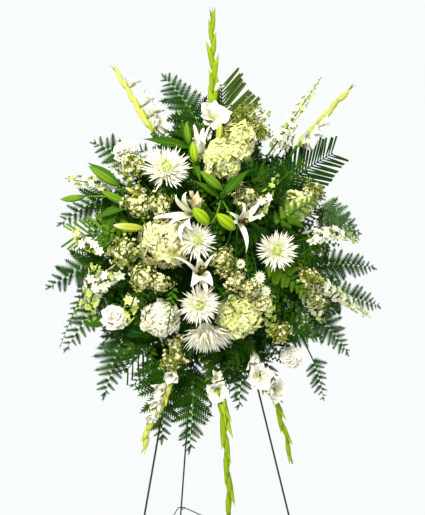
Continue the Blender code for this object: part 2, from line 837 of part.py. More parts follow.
def build_ties():
    """A flat strap round each front leg and through its two slots."""
    leg = leg_half_width(TIE_DROP * math.cos(LEAN))
    rear = -WIRE - GAP - TIE_THICK
    front = WIRE + GAP + TRAY_WALL + GAP
    for name, sign in (("tie_left", -1), ("tie_right", 1)):
        outer = TIE_REACH + TIE_THICK / 2
        inner = TIE_REACH - TIE_THICK / 2
        outline = [(-outer, rear), (outer, rear), (outer, front + TIE_THICK), (-outer, front + TIE_THICK)]
        hollow = [(-inner, rear + TIE_THICK), (inner, rear + TIE_THICK), (inner, front), (-inner, front)]
        points = [board(sign * leg + right, -TIE_DROP + up, out)
                  for up in (-TIE_TALL / 2, TIE_TALL / 2) for right, out in outline + hollow]
        faces = []
        for k in range(4):
            n = (k + 1) % 4
            faces.append((k, n, 4 + n, 4 + k))
            faces.append((8 + k, 12 + k, 12 + n, 8 + n))
            faces.append((k, 8 + k, 8 + n, n))
            faces.append((4 + k, 4 + n, 12 + n, 12 + k))
        show(name, (points, faces), TRAY_PLASTIC, smooth=False)


def build_foam():
    """The block of foam with a plain hole for each stem."""
    foam = show("floral_foam", foam_block(), FOAM, smooth=False)
    holes = []
    for root, out, radius in HOLES:
        wide = radius + GAP / math.cos(math.pi / 4)
        holes.append(tube([root - out * (HOLE_DEPTH + GAP), root + out * THROUGH], wide))
    cut_away(foam, holes)


def foam_block():
    """The foam before its holes are made."""
    return block(board, (-FOAM_WIDTH / 2, FOAM_WIDTH / 2), (-FOAM_TOP_DROP - FOAM_HEIGHT, -FOAM_TOP_DROP),
                 (FOAM_BACK, FOAM_BACK + FOAM_DEPTH))


# The plants. Most rows give the place of a head, the way that it faces, and its radius

MUMS = {
    "mum_upper_left": ((-0.158, -0.002, 0.270), (-0.25, 0.45, 1.0), 0.066),
    "mum_middle": ((-0.092, -0.150, 0.318), (-0.05, 0.15, 1.0), 0.055),
    "mum_right": ((0.102, -0.180, 0.270), (-0.05, 0.10, 1.0), 0.062),
    "mum_low_middle": ((-0.088, -0.300, 0.290), (-0.10, 0.45, 1.0), 0.058),
    "mum_low": ((-0.062, -0.385, 0.225), (0.05, 0.10, 1.0), 0.064),
}
MUM_QUILLS = 20
MUM_STALK = 0.0024

HYDRANGEAS = {
    "hydrangea_top": ((0.044, 0.088, 0.200), (0.1, 0.45, 1.0), 0.050),
    "hydrangea_upper": ((-0.030, 0.040, 0.262), (-0.1, 0.3, 1.0), 0.055),
    "hydrangea_left": ((-0.160, -0.160, 0.245), (-0.3, 0.05, 1.0), 0.064),
    "hydrangea_low_left": ((-0.170, -0.336, 0.225), (-0.35, -0.2, 1.0), 0.048),
    "hydrangea_low": ((0.022, -0.325, 0.245), (0.1, -0.1, 1.0), 0.064),
}
HYDRANGEA_FLORETS = 14
HYDRANGEA_STALK = 0.0030

CARNATIONS = {
    "carnation_left": ((-0.263, -0.329, 0.200), (-0.3, 0.1, 1.0), 0.036),
    "carnation_low": ((0.181, -0.452, 0.160), (-0.3, -0.3, 1.0), 0.028),
    "carnation_upper": ((-0.235, 0.060, 0.165), (-0.4, 0.4, 1.0), 0.026),
}
CARNATION_STALK = 0.0022

# A gladiolus: the points of its spike from its lowest flower to its tip, how many buds, and its open
# flowers, each with its share of the way along the spike, the way it faces, and its radius
GLADIOLI = {
    "gladiolus_top": ([(-0.030, 0.120, 0.185), (-0.012, 0.215, 0.135), (-0.001, 0.331, 0.085),
                       (0.004, 0.443, 0.050)], 6,
                      [(0.06, (-0.1, 0.35, 1.0), 0.038), (0.0, (-0.8, 0.2, 0.8), 0.026)]),
    "gladiolus_upper_left": ([(-0.168, 0.100, 0.170), (-0.190, 0.150, 0.130), (-0.213, 0.206, 0.090),
                              (-0.247, 0.279, 0.050)], 5,
                             [(0.05, (0.5, 0.5, 0.8), 0.028), (0.22, (0.6, 0.6, 0.7), 0.022)]),
    "gladiolus_upper_right": ([(0.190, 0.078, 0.180), (0.245, 0.122, 0.130), (0.310, 0.183, 0.090),
                               (0.398, 0.270, 0.060)], 5,
                              [(0.10, (0.6, -0.2, 0.8), 0.030)]),
    "gladiolus_low_left": ([(-0.125, -0.478, 0.185), (-0.148, -0.522, 0.192), (-0.175, -0.580, 0.185),
                            (-0.186, -0.648, 0.165)], 5, [(0.02, (-0.6, -0.2, 0.8), 0.020)]),
    "gladiolus_low": ([(-0.020, -0.482, 0.180), (-0.008, -0.545, 0.195), (0.004, -0.679, 0.200),
                       (0.015, -0.860, 0.185)], 7,
                      [(0.10, (-0.25, -0.3, 1.0), 0.036), (0.0, (0.5, 0.1, 1.0), 0.026)]),
    "gladiolus_low_right": ([(0.088, -0.485, 0.185), (0.118, -0.528, 0.192), (0.143, -0.585, 0.185),
                             (0.190, -0.702, 0.160)], 6,
                            [(0.02, (-0.5, -0.1, 1.0), 0.036), (0.20, (0.6, 0.0, 0.9), 0.034)]),
}
GLADIOLUS_STEM = 0.0040

# An open lily: its throat, the way it faces and the length of its petals
LILIES = {
    "lily_middle": ((-0.089, -0.228, 0.325), (-0.05, 0.0, 1.0), 0.075),
    "lily_right": ((0.021, -0.116, 0.290), (0.1, -0.15, 1.0), 0.072),
    "lily_left": ((-0.128, -0.082, 0.318), (-0.9, 0.1, 0.7), 0.078),
}
LILY_STALK = 0.0024
LILY_FUNNEL = 0.030

# A green lily stem: its top, then its buds and its leaves, each as foot and tip
LILY_STEMS = {
    "lily_stem_left": ((-0.262, -0.060, 0.205),
                       [((-0.276, -0.028, 0.215), (-0.330, 0.030, 0.200)),
                        ((-0.285, -0.058, 0.215), (-0.340, -0.040, 0.215)),
                        ((-0.320, -0.080, 0.185), (-0.388, -0.075, 0.150)),
                        ((-0.238, -0.130, 0.258), (-0.292, -0.120, 0.265))],
                       [((-0.262, -0.060, 0.205), (-0.345, -0.125, 0.190)),
                        ((-0.262, -0.060, 0.205), (-0.215, -0.025, 0.262))]),
    "lily_stem_top": ((-0.098, 0.060, 0.238),
                      [((-0.096, 0.062, 0.262), (-0.112, 0.118, 0.262)),
                       ((-0.064, 0.080, 0.235), (-0.046, 0.145, 0.225))],
                      [((-0.098, 0.060, 0.238), (-0.122, 0.160, 0.190)),
                       ((-0.098, 0.060, 0.238), (-0.200, 0.080, 0.262))]),
    "lily_stem_middle": ((-0.035, -0.060, 0.305),
                         [((-0.040, -0.050, 0.318), (-0.094, 0.000, 0.330)),
                          ((-0.050, -0.108, 0.318), (-0.078, -0.066, 0.345)),
                          ((-0.012, -0.090, 0.305), (-0.028, -0.118, 0.340))],
                         [((-0.035, -0.060, 0.305), (0.030, 0.005, 0.295)),
                          ((-0.035, -0.060, 0.305), (-0.040, 0.010, 0.325))]),
}
LILY_STEM = 0.0032
BUD_STALK = 0.0018

# Spikes of small white bells, each from its lowest bell to its tip. Two on one stem fork
LARKSPURS = {
    "larkspur_upper_right": [[(0.118, 0.070, 0.215), (0.190, 0.150, 0.150), (0.302, 0.283, 0.070)]],
    "larkspur_left": [[(-0.262, -0.020, 0.180), (-0.320, -0.022, 0.170), (-0.372, -0.012, 0.140)],
                      [(-0.290, -0.175, 0.190), (-0.330, -0.165, 0.180), (-0.362, -0.120, 0.165)]],
    "larkspur_low_left": [[(-0.255, -0.225, 0.215), (-0.300, -0.270, 0.190), (-0.356, -0.335, 0.140)]],
    "larkspur_middle": [[(0.072, -0.090, 0.250), (0.104, -0.040, 0.245), (0.140, 0.012, 0.230)]],
    "larkspur_right": [[(0.205, -0.150, 0.215), (0.295, -0.133, 0.185), (0.372, -0.168, 0.150)]],
    "larkspur_low_right": [[(0.245, -0.262, 0.195), (0.330, -0.306, 0.160), (0.425, -0.356, 0.110)]],
}
LARKSPUR_BELLS = 7
LARKSPUR_STALK = 0.0024

# Sprays of small filler flowers: the middle and radius of each cluster
FILLERS = {
    "filler_upper_left": [((-0.222, 0.018, 0.200), 0.034), ((-0.213, -0.074, 0.225), 0.028)],
    "filler_left": [((-0.246, -0.190, 0.235), 0.032), ((-0.222, -0.255, 0.240), 0.028)],
    "filler_top": [((0.055, 0.150, 0.165), 0.036), ((0.118, 0.096, 0.185), 0.026)],
    "filler_middle": [((0.040, -0.050, 0.255), 0.026), ((-0.026, -0.175, 0.268), 0.028)],
    "filler_right": [((0.225, -0.040, 0.195), 0.032), ((0.213, -0.254, 0.225), 0.034)],
    "filler_low": [((0.135, -0.373, 0.205), 0.028), ((-0.126, -0.440, 0.190), 0.026)],
}
FILLER_CUPS = 8
FILLER_STALK = 0.0020
FILLER_BRANCH = 0.0018

DAISIES = (((0.020, -0.212, 0.262), (0.0, 0.1, 1.0), 0.019),
           ((0.058, -0.243, 0.288), (0.2, 0.0, 1.0), 0.018),
           ((0.082, -0.276, 0.284), (0.3, -0.2, 1.0), 0.018))
DAISY_STALK = 0.0018
DAISY_BRANCH = 0.0016

# Fern bunches: each frond gives where its blade begins, its tip and the half width of its blade
FERNS = {
    "fern_upper_left": [((-0.120, 0.070, 0.150), (-0.104, 0.245, 0.110), 0.064),
                        ((-0.220, 0.060, 0.115), (-0.315, 0.110, 0.085), 0.060)],
    "fern_left": [((-0.250, -0.040, 0.120), (-0.385, -0.120, 0.110), 0.060),
                  ((-0.270, -0.200, 0.130), (-0.410, -0.270, 0.100), 0.064)],
    "fern_low_left": [((-0.270, -0.270, 0.150), (-0.372, -0.420, 0.120), 0.056),
                      ((-0.230, -0.360, 0.150), (-0.285, -0.530, 0.125), 0.066)],
    "fern_low": [((-0.120, -0.400, 0.150), (-0.195, -0.545, 0.130), 0.058),
                 ((-0.055, -0.440, 0.140), (-0.070, -0.668, 0.145), 0.056),
                 ((0.060, -0.430, 0.145), (0.078, -0.590, 0.145), 0.058)],
    "fern_low_right": [((0.210, -0.380, 0.150), (0.291, -0.567, 0.120), 0.064),
                       ((0.240, -0.330, 0.145), (0.372, -0.425, 0.110), 0.060)],
    "fern_right": [((0.250, -0.220, 0.140), (0.440, -0.215, 0.105), 0.066),
                   ((0.250, -0.290, 0.135), (0.472, -0.315, 0.090), 0.062)],
    "fern_upper_right": [((0.150, -0.080, 0.200), (0.240, -0.065, 0.240), 0.050),
                         ((0.250, -0.110, 0.150), (0.393, -0.150, 0.120), 0.058)],
}
FERN_PAIRS = 6
FERN_STALK = 0.0020

# Palm leaves: where each blade begins, its tip, the half width, and how many pairs of leaflets
PALMS = {
    "palm_top": [((0.010, 0.100, 0.130), (0.028, 0.262, 0.095), 0.085, 6)],
    "palm_right": [((0.180, 0.010, 0.140), (0.350, 0.085, 0.095), 0.080, 6)],
    "palm_left": [((-0.225, -0.150, 0.160), (-0.352, -0.145, 0.140), 0.065, 5),
                  ((-0.165, -0.390, 0.160), (-0.232, -0.475, 0.130), 0.060, 4)],
}
PALM_STALK = 0.0026
PALM_BLUNT = 0.0042

BROAD_BRANCH = ((0.150, -0.230, 0.170), [(0.205, -0.150, 0.160), (0.120, -0.290, 0.190),
                                         (0.215, -0.290, 0.165), (0.160, -0.140, 0.185)])
BROAD_STALK = 0.0024

RANDOM = random.Random(11)


def around(axis, angle):
    """A unit vector square to the axis, turned round it by the angle."""
    across = axis.orthogonal().normalized()
    return across * math.cos(angle) + axis.cross(across) * math.sin(angle)


def even_directions(axis, count, depth):
    """Directions spread evenly from the axis round the side of a ball, down to the given depth."""
    ways = []
    for index in range(count):
        height = 1 - depth * (index + 0.5) / count
        flat = math.sqrt(1 - height * height)
        ways.append(axis * height + around(axis, index * math.pi * (3 - math.sqrt(5))) * flat)
    return ways


def on_path(path, share):
    """The place at this share of a path, and the direction of the path there."""
    place = min(share, 0.9999) * (len(path) - 1)
    low = int(place)
    return path[low].lerp(path[low + 1], place - low), (path[low + 1] - path[low]).normalized()


def build_mum(name, centre, facing, radius):
    """A ball of bent quills raised from a small core, longest round its edge."""
    core = ball(centre, radius * 0.22, 2)
    reserve(name, [core])
    yield
    stalk = stem(name, centre - facing * (radius * 0.15), facing, MUM_STALK)
    quills = {}
    for index, middle, corners in chosen_faces(core, centre, even_directions(facing, MUM_QUILLS, 1.25)):
        way = (middle - centre).normalized()
        tilt = way.angle(facing)
        length = radius * (0.70 + 0.30 * min(1.0, tilt / 1.3)) * RANDOM.uniform(0.93, 1.06)
        rise = facing * (0.60 - 0.32 * tilt)
        quills[index] = []
        for size in SIZES:
            bend = centre + way * (length * 0.58 * size)
            tip = bend + (way + rise).normalized() * (length * 0.42 * size)
            quills[index].append([[bend + (corner - middle) * 0.62 for corner in corners], [tip]])
    plant(name, WHITE_PETAL, [tube(stalk, MUM_STALK)], [lambda clear: [studded(core, quills, clear)]])


def build_hydrangea(name, centre, facing, radius):
    """Four-lobed florets raised from a smaller core, over the sides that show."""
    core = square_ball(centre, radius * 0.78, facing)
    reserve(name, [core])
    yield
    stalk = stem(name, centre - facing * (radius * 0.5), facing, HYDRANGEA_STALK)
    florets = {}
    for index, middle, corners in chosen_faces(core, centre, even_directions(facing, HYDRANGEA_FLORETS, 1.3)):
        florets[index] = []
        for size in (1.27, 1.18, 1.10):
            heart = centre + (middle - centre) * size
            loop = []
            for k, corner in enumerate(corners):
                between = (corner + corners[(k + 1) % 4]) / 2
                loop.append(heart + (corner - middle) * (size * 0.90))
                loop.append(heart + (between - middle) * (size * 0.62))
            florets[index].append([loop, [centre + (middle - centre) * (size * 0.95)]])
    plant(name, CREAM_PETAL, [tube(stalk, HYDRANGEA_STALK)],
          [lambda clear: [studded(core, florets, clear)]])


def build_carnation(name, centre, facing, radius):
    """Three ruffled tiers over a calyx."""
    foot = centre - facing * (radius * 1.15)
    calyx = tube([foot, centre - facing * (radius * 0.55)], [radius * 0.18, radius * 0.26])
    tiers = []
    for step, (wide, lobes, depth) in enumerate(((1.0, 7, 0.85), (0.80, 5, 0.70), (0.5, 3, 0.85))):
        lift = centre + facing * (radius * (0.02 + 0.24 * step))
        tiers.append(star(lift, facing, radius * wide, radius * depth, lobes, 0.84, 0.30, 0.25 * step,
                          radius * 0.10))
    reserve(name, [calyx, tiers[0]])
    yield
    stalk = stem(name, foot + facing * INTO, facing, CARNATION_STALK)
    plant(name, WHITE_PETAL, [tube(stalk, CARNATION_STALK), calyx] + tiers, [])


def build_gladiolus(name, marks, buds, flowers):
    """A long spike of buds in two ranks, with a few open flowers at its foot."""
    marks = [spot(*mark) for mark in marks]
    spike = smooth_path(marks, 2)
    spans = len(spike) - 1
    radii = [GLADIOLUS_STEM * (1 - 0.6 * index / spans) for index in range(spans + 1)]
    reserve(name, [tube(spike, radii)])
    yield
    begin = stem(name, marks[0], (marks[1] - marks[0]).normalized(), GLADIOLUS_STEM)
    stalk = tube(begin + spike[1:], [GLADIOLUS_STEM] * (len(begin) - 1) + radii)
    viewer = heading(-0.25, 0, 1)
    repeats = []
    for share, face, radius in flowers:
        foot, way = on_path(spike, share)
        face = heading(*face)
        rim = foot + (face + way * 0.5).normalized() * (radius * 1.25)
        flower = star(rim, face, radius, radius * 1.45, 5, 0.74, 0.45, 0.2, radius * 0.08)
        repeats.append(smaller_choices(foot, flower))
    for index in range(buds):
        share = index / (buds - 1)
        foot, way = on_path(spike, 0.30 + 0.66 * share)
        side = way.cross(viewer).normalized() * (1 if index % 2 else -1)
        lean = (way + side * 0.30 + viewer * 0.15).normalized()
        size = 1 - 0.62 * share
        repeats.append(smaller_choices(foot, bud(foot, lean, 0.052 * size, 0.0085 * size + 0.001)))
    repeats.append([bud(spike[-1] - way * 0.006, way, 0.022, 0.003)])
    plant(name, BRIGHT_GREEN, [stalk], [separate(repeats)])


def build_lily(name, throat, facing, length):
    """Six long petals that bend back, a funnel behind them, and the stamens."""
    foot = throat - facing * LILY_FUNNEL
    funnel = tube([foot, throat], [0.0034, 0.0080], 5)
    reserve(name, [funnel])
    yield
    stalk = stem(name, foot + facing * INTO, facing, LILY_STALK)
    repeats = []
    for index in range(6):
        out = around(facing, math.pi * index / 3 + RANDOM.uniform(-0.12, 0.12))
        along = (facing * 0.55 + out).normalized()
        wide = length * (0.155 if index % 2 else 0.12)
        begin = throat + out * 0.0055 - along * 0.004
        petal = leaf(begin, along, facing - out * 0.4, length, [0, wide, wide * 0.8, 0], curl=-1.1,
                     ribbed=False)
        repeats.append(smaller_choices(begin, petal))
    for index in range(3):
        out = around(facing, math.pi * (index + 0.4) * 2 / 3)
        begin = throat - facing * 0.004
        anther = throat + facing * (length * 0.50) + out * 0.016
        repeats.append([tube([begin, anther, anther + out * 0.010], [0.0012, 0.0022, 0], 3)])
    plant(name, WHITE_PETAL, [funnel, tube(stalk, LILY_STALK)], [separate(repeats)])


def build_lily_stem(name, top, buds, leaves):
    """A green stem whose short stalks carry closed buds and narrow leaves."""
    top = spot(*top)
    closed = []
    for foot, tip in buds:
        foot, tip = spot(*foot), spot(*tip)
        length = (tip - foot).length
        marks = [foot, foot.lerp(tip, 0.32), foot.lerp(tip, 0.72), tip]
        closed.append(tube(marks, [0.0024, length * 0.125, length * 0.115, 0]))
    reserve(name, closed)
    yield
    stalk = stem(name, top, heading(0, 0.2, 1), LILY_STEM)
    shapes = [tube(stalk, LILY_STEM)]
    for foot, tip in buds:
        foot, tip = spot(*foot), spot(*tip)
        way = (tip - foot).normalized()
        shapes.append(branch(name, stalk[-2], foot + way * INTO, (top - stalk[-2]).normalized(), way,
                             [BUD_STALK] * 3)[1])
    repeats = []
    for foot, tip in leaves:
        foot, tip = spot(*foot), spot(*tip)
        along = tip - foot
        length = along.length
        narrow = leaf(foot - along * 0.03, along, heading(-0.2, 0.5, 1), length,
                      [0, length * 0.12, length * 0.11, 0], curl=-0.3, fold=0.25)
        repeats.append(smaller_choices(foot, narrow))
    plant(name, BRIGHT_GREEN, shapes + closed, [separate(repeats)])


def build_larkspur(name, spikes):
    """A stem set round with small open bells, with closed ones at its tip."""
    paths = [smooth_path([spot(*mark) for mark in marks], 2) for marks in spikes]
    radii = [LARKSPUR_STALK - 0.0003 - 0.0008 * index / (len(paths[0]) - 1) for index in range(len(paths[0]))]
    tubes = [tube(path, radii) for path in paths]
    reserve(name, tubes)
    yield
    begin = stem(name, paths[0][0] + (paths[0][1] - paths[0][0]) * 0.05,
                 (paths[0][1] - paths[0][0]).normalized(), LARKSPUR_STALK)
    shapes = [tube(begin, LARKSPUR_STALK)] + tubes
    for path in paths[1:]:
        way = (path[1] - path[0]).normalized()
        radii = [LARKSPUR_STALK - 0.0002] * 4
        shapes.append(branch(name, begin[-2], path[0] + way * INTO, way, way, radii)[1])
    repeats = []
    for path in paths:
        for index in range(LARKSPUR_BELLS):
            share = index / LARKSPUR_BELLS
            foot, way = on_path(path, share)
            face = (around(way, index * 2.37 + 0.2) + way * 0.35).normalized()
            size = 0.0155 - 0.0065 * share
            bell = star(foot + face * size, face, size, size + 0.0008, 4, 1, 0.25, index * 0.7)
            repeats.append(smaller_choices(foot, bell))
        for index in range(2):
            lean = way + around(way, index * 2.1) * (0.5 * index)
            repeats.append([bud(path[-1] - way * (0.004 + 0.005 * index), lean, 0.013, 0.0030)])
    plant(name, WHITE_PETAL, shapes, [separate(repeats)])


def build_filler(name, clusters):
    """A forked spray: each cluster is a small core covered with tiny cups."""
    clusters = [(spot(*middle), radius) for middle, radius in clusters]
    cores = [ball(middle, radius * 0.55, 1) for middle, radius in clusters]
    reserve(name, cores)
    yield
    first = clusters[0][0]
    fan = Vector((first.x * 1.5, -0.35, (first.z - APEX + 0.17) * 1.5)).normalized()
    stalk = stem(name, first, fan, FILLER_STALK)
    shapes = [tube(stalk, FILLER_STALK)]
    for middle, radius in clusters[1:]:
        way = (middle - stalk[-2]).normalized()
        shapes.append(branch(name, stalk[-2], middle, way, way, [FILLER_BRANCH] * 4)[1])

    def cups(core, middle, radius):
        studs = {}
        for index, low, corners in chosen_faces(core, middle, even_directions(fan, FILLER_CUPS, 1.6)):
            way = (low - middle).normalized()
            reach = radius * RANDOM.uniform(0.85, 1.08)
            studs[index] = []
            for size in (1.0, 0.85, 0.7):
                rim = [middle + way * (reach * size) + (corner - low) * 0.66 for corner in corners]
                studs[index].append([rim, [middle + way * (reach * size * 0.90)]])
        return lambda clear: [studded(core, studs, clear)]

    plant(name, OLIVE_BUD, shapes,
          [cups(core, middle, radius) for core, (middle, radius) in zip(cores, clusters)])


def build_daisies(name, daisies):
    """Small daisies on one forked stem."""
    places = [(spot(*place), heading(*face), radius) for place, face, radius in daisies]
    heads = [star(place, face, radius, 0.012, 6, 0.62, 0.15) for place, face, radius in places]
    reserve(name, heads)
    yield
    feet = [place - face * 0.008 for place, face, radius in places]
    stalk = stem(name, feet[0], places[0][1], DAISY_STALK)
    shapes = [tube(stalk, DAISY_STALK)]
    for foot, (place, face, radius) in zip(feet[1:], places[1:]):
        way = (foot - stalk[-2]).normalized()
        shapes.append(branch(name, stalk[-2], foot, way, face, [DAISY_BRANCH] * 4)[1])
    plant(name, WHITE_PETAL, shapes + heads, [])


def build_fronds(name, material, fronds, radius):
    """Fronds on one forked stem. Each gives its rib's ends and how its leaflets run."""
    ribs = []
    for begin, tip, width, count, narrowing, sweep, blunt in fronds:
        begin, tip = spot(*begin), spot(*tip)
        way = (tip - begin).normalized()
        leave = (way + heading(0, 0.25, 0.15)).normalized()
        arrive = (way - heading(0, 0.25, 0.1)).normalized()
        path = branch(name, begin, tip, leave, arrive, [radius, radius, radius * 0.6, radius * 0.4])[0]
        ribs.append((path, frond_pairs(path, width, count, narrowing, sweep, blunt)))
    yield
    shapes = []
    stalk = None
    growers = []
    for path, pairs in ribs:
        way = (path[1] - path[0]).normalized()
        if stalk is None:
            stalk = stem(name, path[0] + way * INTO, way, radius)
            shapes.append(tube(stalk, radius))
        else:
            leave = (stalk[-1] - stalk[-2]).normalized()
            shapes.append(branch(name, stalk[-2], path[0] + way * INTO, leave, way, [radius] * 4)[1])
        growers.append(lambda clear, path=path, pairs=pairs: [frond(path, heading(0, 0.1, 1), pairs, clear)])
    plant(name, material, shapes, growers)


def build_broad_branch(name, top, tips):
    """A woody stem with broad pointed leaves, low among the flowers."""
    top = spot(*top)
    yield
    stalk = stem(name, top, heading(0.3, 0, 1), BROAD_STALK)
    repeats = []
    for tip in tips:
        along = spot(*tip) - top
        length = along.length
        broad = leaf(top - along * 0.03, along, heading(0, 0.2, 1), length,
                     [0, length * 0.26, length * 0.24, 0], curl=-0.35, fold=0.15)
        repeats.append(smaller_choices(top, broad))
    plant(name, DARK_GREEN, [tube(stalk, BROAD_STALK)], [separate(repeats)])


def build_plants():
    """All heads first, then the stems round them, and then the petals and leaflets."""
    builders = []
    for table, build in ((HYDRANGEAS, build_hydrangea), (MUMS, build_mum), (CARNATIONS, build_carnation),
                         (LILIES, build_lily)):
        for name, (place, face, radius) in table.items():
            builders.append(build(name, spot(*place), heading(*face), radius))
    builders += [build_lily_stem(name, *row) for name, row in LILY_STEMS.items()]
    builders.append(build_daisies("daisies", DAISIES))
    builders += [build_gladiolus(name, *row) for name, row in GLADIOLI.items()]
    builders += [build_larkspur(name, spikes) for name, spikes in LARKSPURS.items()]
    builders += [build_filler(name, clusters) for name, clusters in FILLERS.items()]
    for name, leaves in PALMS.items():
        rows = [(begin, tip, width, pairs, 0.35, 0.55, PALM_BLUNT) for begin, tip, width, pairs in leaves]
        builders.append(build_fronds(name, DARK_GREEN, rows, PALM_STALK))
    for name, fronds in FERNS.items():
        rows = [(begin, tip, width, FERN_PAIRS, 0.72, 0.35, 0.0) for begin, tip, width in fronds]
        builders.append(build_fronds(name, FERN_GREEN, rows, FERN_STALK))
    builders.append(build_broad_branch("broad_leaf_branch", *BROAD_BRANCH))
    for _ in range(2):
        for builder in builders:
            next(builder, None)
    grow_all()


def keep_rear_clear():
    """The space behind the front legs, where the rear leg swings, stays free of plants."""
    PLACED["rear space"] = [Standing(block(board, (-0.12, 0.12), (-1.35, 0.02), (-0.5, 0.004)))]


def stand_at_origin():
    """Move everything so that the middle of the whole box is over the origin and its foot is at zero."""
    corners = [made.matrix_world @ vertex.co for made in bpy.data.objects for vertex in made.data.vertices]
    low = [min(corner[axis] for corner in corners) for axis in range(3)]
    high = [max(corner[axis] for corner in corners) for axis in range(3)]
    shift = Vector((-(low[0] + high[0]) / 2, -(low[1] + high[1]) / 2, -low[2]))
    for made in bpy.data.objects:
        made.location += shift
    print("moved by", [round(value, 6) for value in shift],
          "to a size of", [round(high[axis] - low[axis], 4) for axis in range(3)])


build_easel()
build_tray()
build_ties()
PLACED["floral_foam"] = [Standing(foam_block())]
keep_rear_clear()
build_plants()
build_foam()
bpy.context.view_layer.update()
stand_at_origin()
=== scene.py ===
# %% [markdown]
# # A standing spray of white and green flowers
# The object is a florist's standing spray. A block of wet foam sits in a plastic tray on a folding
# wire easel, and stems of flowers, ferns and palm are pushed into the foam so that they fan out.
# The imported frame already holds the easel, the tray and a plain faceted solid for each plant. This
# script keeps the easel and grows a finer plant in the place of each plain one. Lengths are in
# metres, those in the tables of plants in millimetres. The front of the spray looks along -Y.

# %% Load the frame
import math
import random

import bpy
import numpy as np
from mathutils import Matrix, Vector


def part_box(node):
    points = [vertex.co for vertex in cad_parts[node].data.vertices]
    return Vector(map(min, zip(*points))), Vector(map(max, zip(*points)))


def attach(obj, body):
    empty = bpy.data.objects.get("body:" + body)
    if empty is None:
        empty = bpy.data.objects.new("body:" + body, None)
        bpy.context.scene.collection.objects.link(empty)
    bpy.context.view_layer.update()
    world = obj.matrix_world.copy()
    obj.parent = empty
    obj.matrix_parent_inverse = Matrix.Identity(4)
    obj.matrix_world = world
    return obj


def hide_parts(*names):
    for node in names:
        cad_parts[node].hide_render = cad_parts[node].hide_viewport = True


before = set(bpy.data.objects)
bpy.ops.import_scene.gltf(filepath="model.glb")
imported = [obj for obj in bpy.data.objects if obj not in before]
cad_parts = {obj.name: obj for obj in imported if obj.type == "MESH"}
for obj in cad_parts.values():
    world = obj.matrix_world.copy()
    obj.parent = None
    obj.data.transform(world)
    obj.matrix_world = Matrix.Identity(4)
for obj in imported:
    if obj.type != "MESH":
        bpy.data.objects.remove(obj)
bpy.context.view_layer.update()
BODY = "stand_and_flowers"

# %% [markdown]
# ## Where things are
# Every place in the spray is measured from the hinge pin at the top of the easel: to the right, up
# and forward. The foam leans back with the front legs, so it has its own directions.

# %% Places
PIN = (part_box("easel_hinge_pin")[0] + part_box("easel_hinge_pin")[1]) / 2
LEG_SLOPE = 0.15
LEAN = math.atan(LEG_SLOPE)
FOAM_UP = Vector((0, math.sin(LEAN), math.cos(LEAN)))
FOAM_OUT = Vector((0, -math.cos(LEAN), math.sin(LEAN)))
RIGHT = Vector((1, 0, 0))
UP = Vector((0, 0, 1))


def spot(right, up, forward):
    """A place in the spray, in metres from the hinge pin."""
    return PIN + Vector((right, -forward, up))


def mark(place):
    """A place in the spray from a table, in millimetres."""
    return spot(*(value / 1000 for value in place))


def heading(right, up, forward):
    """A direction in the spray."""
    return Vector((right, -forward, up)).normalized()


print("hinge pin at", [round(v, 4) for v in PIN])

# %% [markdown]
# ## The camera
# The photograph was taken a little from the left, level, at the height of the middle of the flowers.
# The camera repeats that, with a small shift, because the spray isn't quite in the middle.

# %% Camera
PHOTO_LONG_SIDE = 515
FOCAL_IN_PIXELS = 755
SHIFT_IN_PIXELS = -7
CAMERA_TURN = math.radians(15)
CAMERA_FROM_PIN = Vector((-0.4805, -1.9418, -0.197))


def add_object(name, data):
    """A new object in the scene that shows this mesh, lamp or camera."""
    made = bpy.data.objects.new(name, data)
    bpy.context.scene.collection.objects.link(made)
    return made


camera = add_object("camera", bpy.data.cameras.new("camera"))
camera.data.sensor_width = 36
camera.data.lens = camera.data.sensor_width * FOCAL_IN_PIXELS / PHOTO_LONG_SIDE
camera.data.shift_x = SHIFT_IN_PIXELS / PHOTO_LONG_SIDE
camera.location = PIN + CAMERA_FROM_PIN
camera.rotation_euler = (math.pi / 2, 0, -CAMERA_TURN)
bpy.context.scene.camera = camera
print("lens", round(camera.data.lens, 2), "mm")

# %% [markdown]
# ## Floor and light
# The floor is one flat pale face with many sides, which catches a soft shadow and costs nothing.
# A large soft lamp stands high on the left, a weak one on the right, and a pale sky fills the shadows,
# as in a bright white room.

# %% Floor and light
FLOOR_RADIUS = 1.25
FLOOR_SIDES = 96
FLOOR_HEIGHT = -0.0005
FLOOR_COLOUR = (0.80, 0.82, 0.81)
SKY_COLOUR = (0.945, 0.975, 0.97)
LAMPS_AIM_AT = spot(0, -0.15, 0.1)
LAMPS = {"key light": ((-1.9, -2.8, 3.2), 0.9, 250, (1.0, 0.98, 0.93)),
         "fill light": ((2.6, -2.4, 1.9), 2.0, 15, (1, 1, 1))}


def mesh_object(name, points, faces=()):
    """A new object with a mesh of these points and faces."""
    mesh = bpy.data.meshes.new(name)
    mesh.from_pydata([tuple(point) for point in points], [], faces)
    return add_object(name, mesh)


def fill(made, inputs):
    """Give each input of a node its value, or link it to another node or socket."""
    for key, value in inputs.items():
        if isinstance(value, bpy.types.Node):
            value = value.outputs[0]
        if isinstance(value, bpy.types.NodeSocket):
            made.id_data.links.new(value, made.inputs[key])
        else:
            made.inputs[key].default_value = value
    return made


def new_material(name, colour):
    """A material with this colour in the viewport, its node tree, and its shader."""
    made = bpy.data.materials.new(name)
    made.use_nodes = True
    made.diffuse_color = (*colour, 1)
    return made, made.node_tree, made.node_tree.nodes["Principled BSDF"]


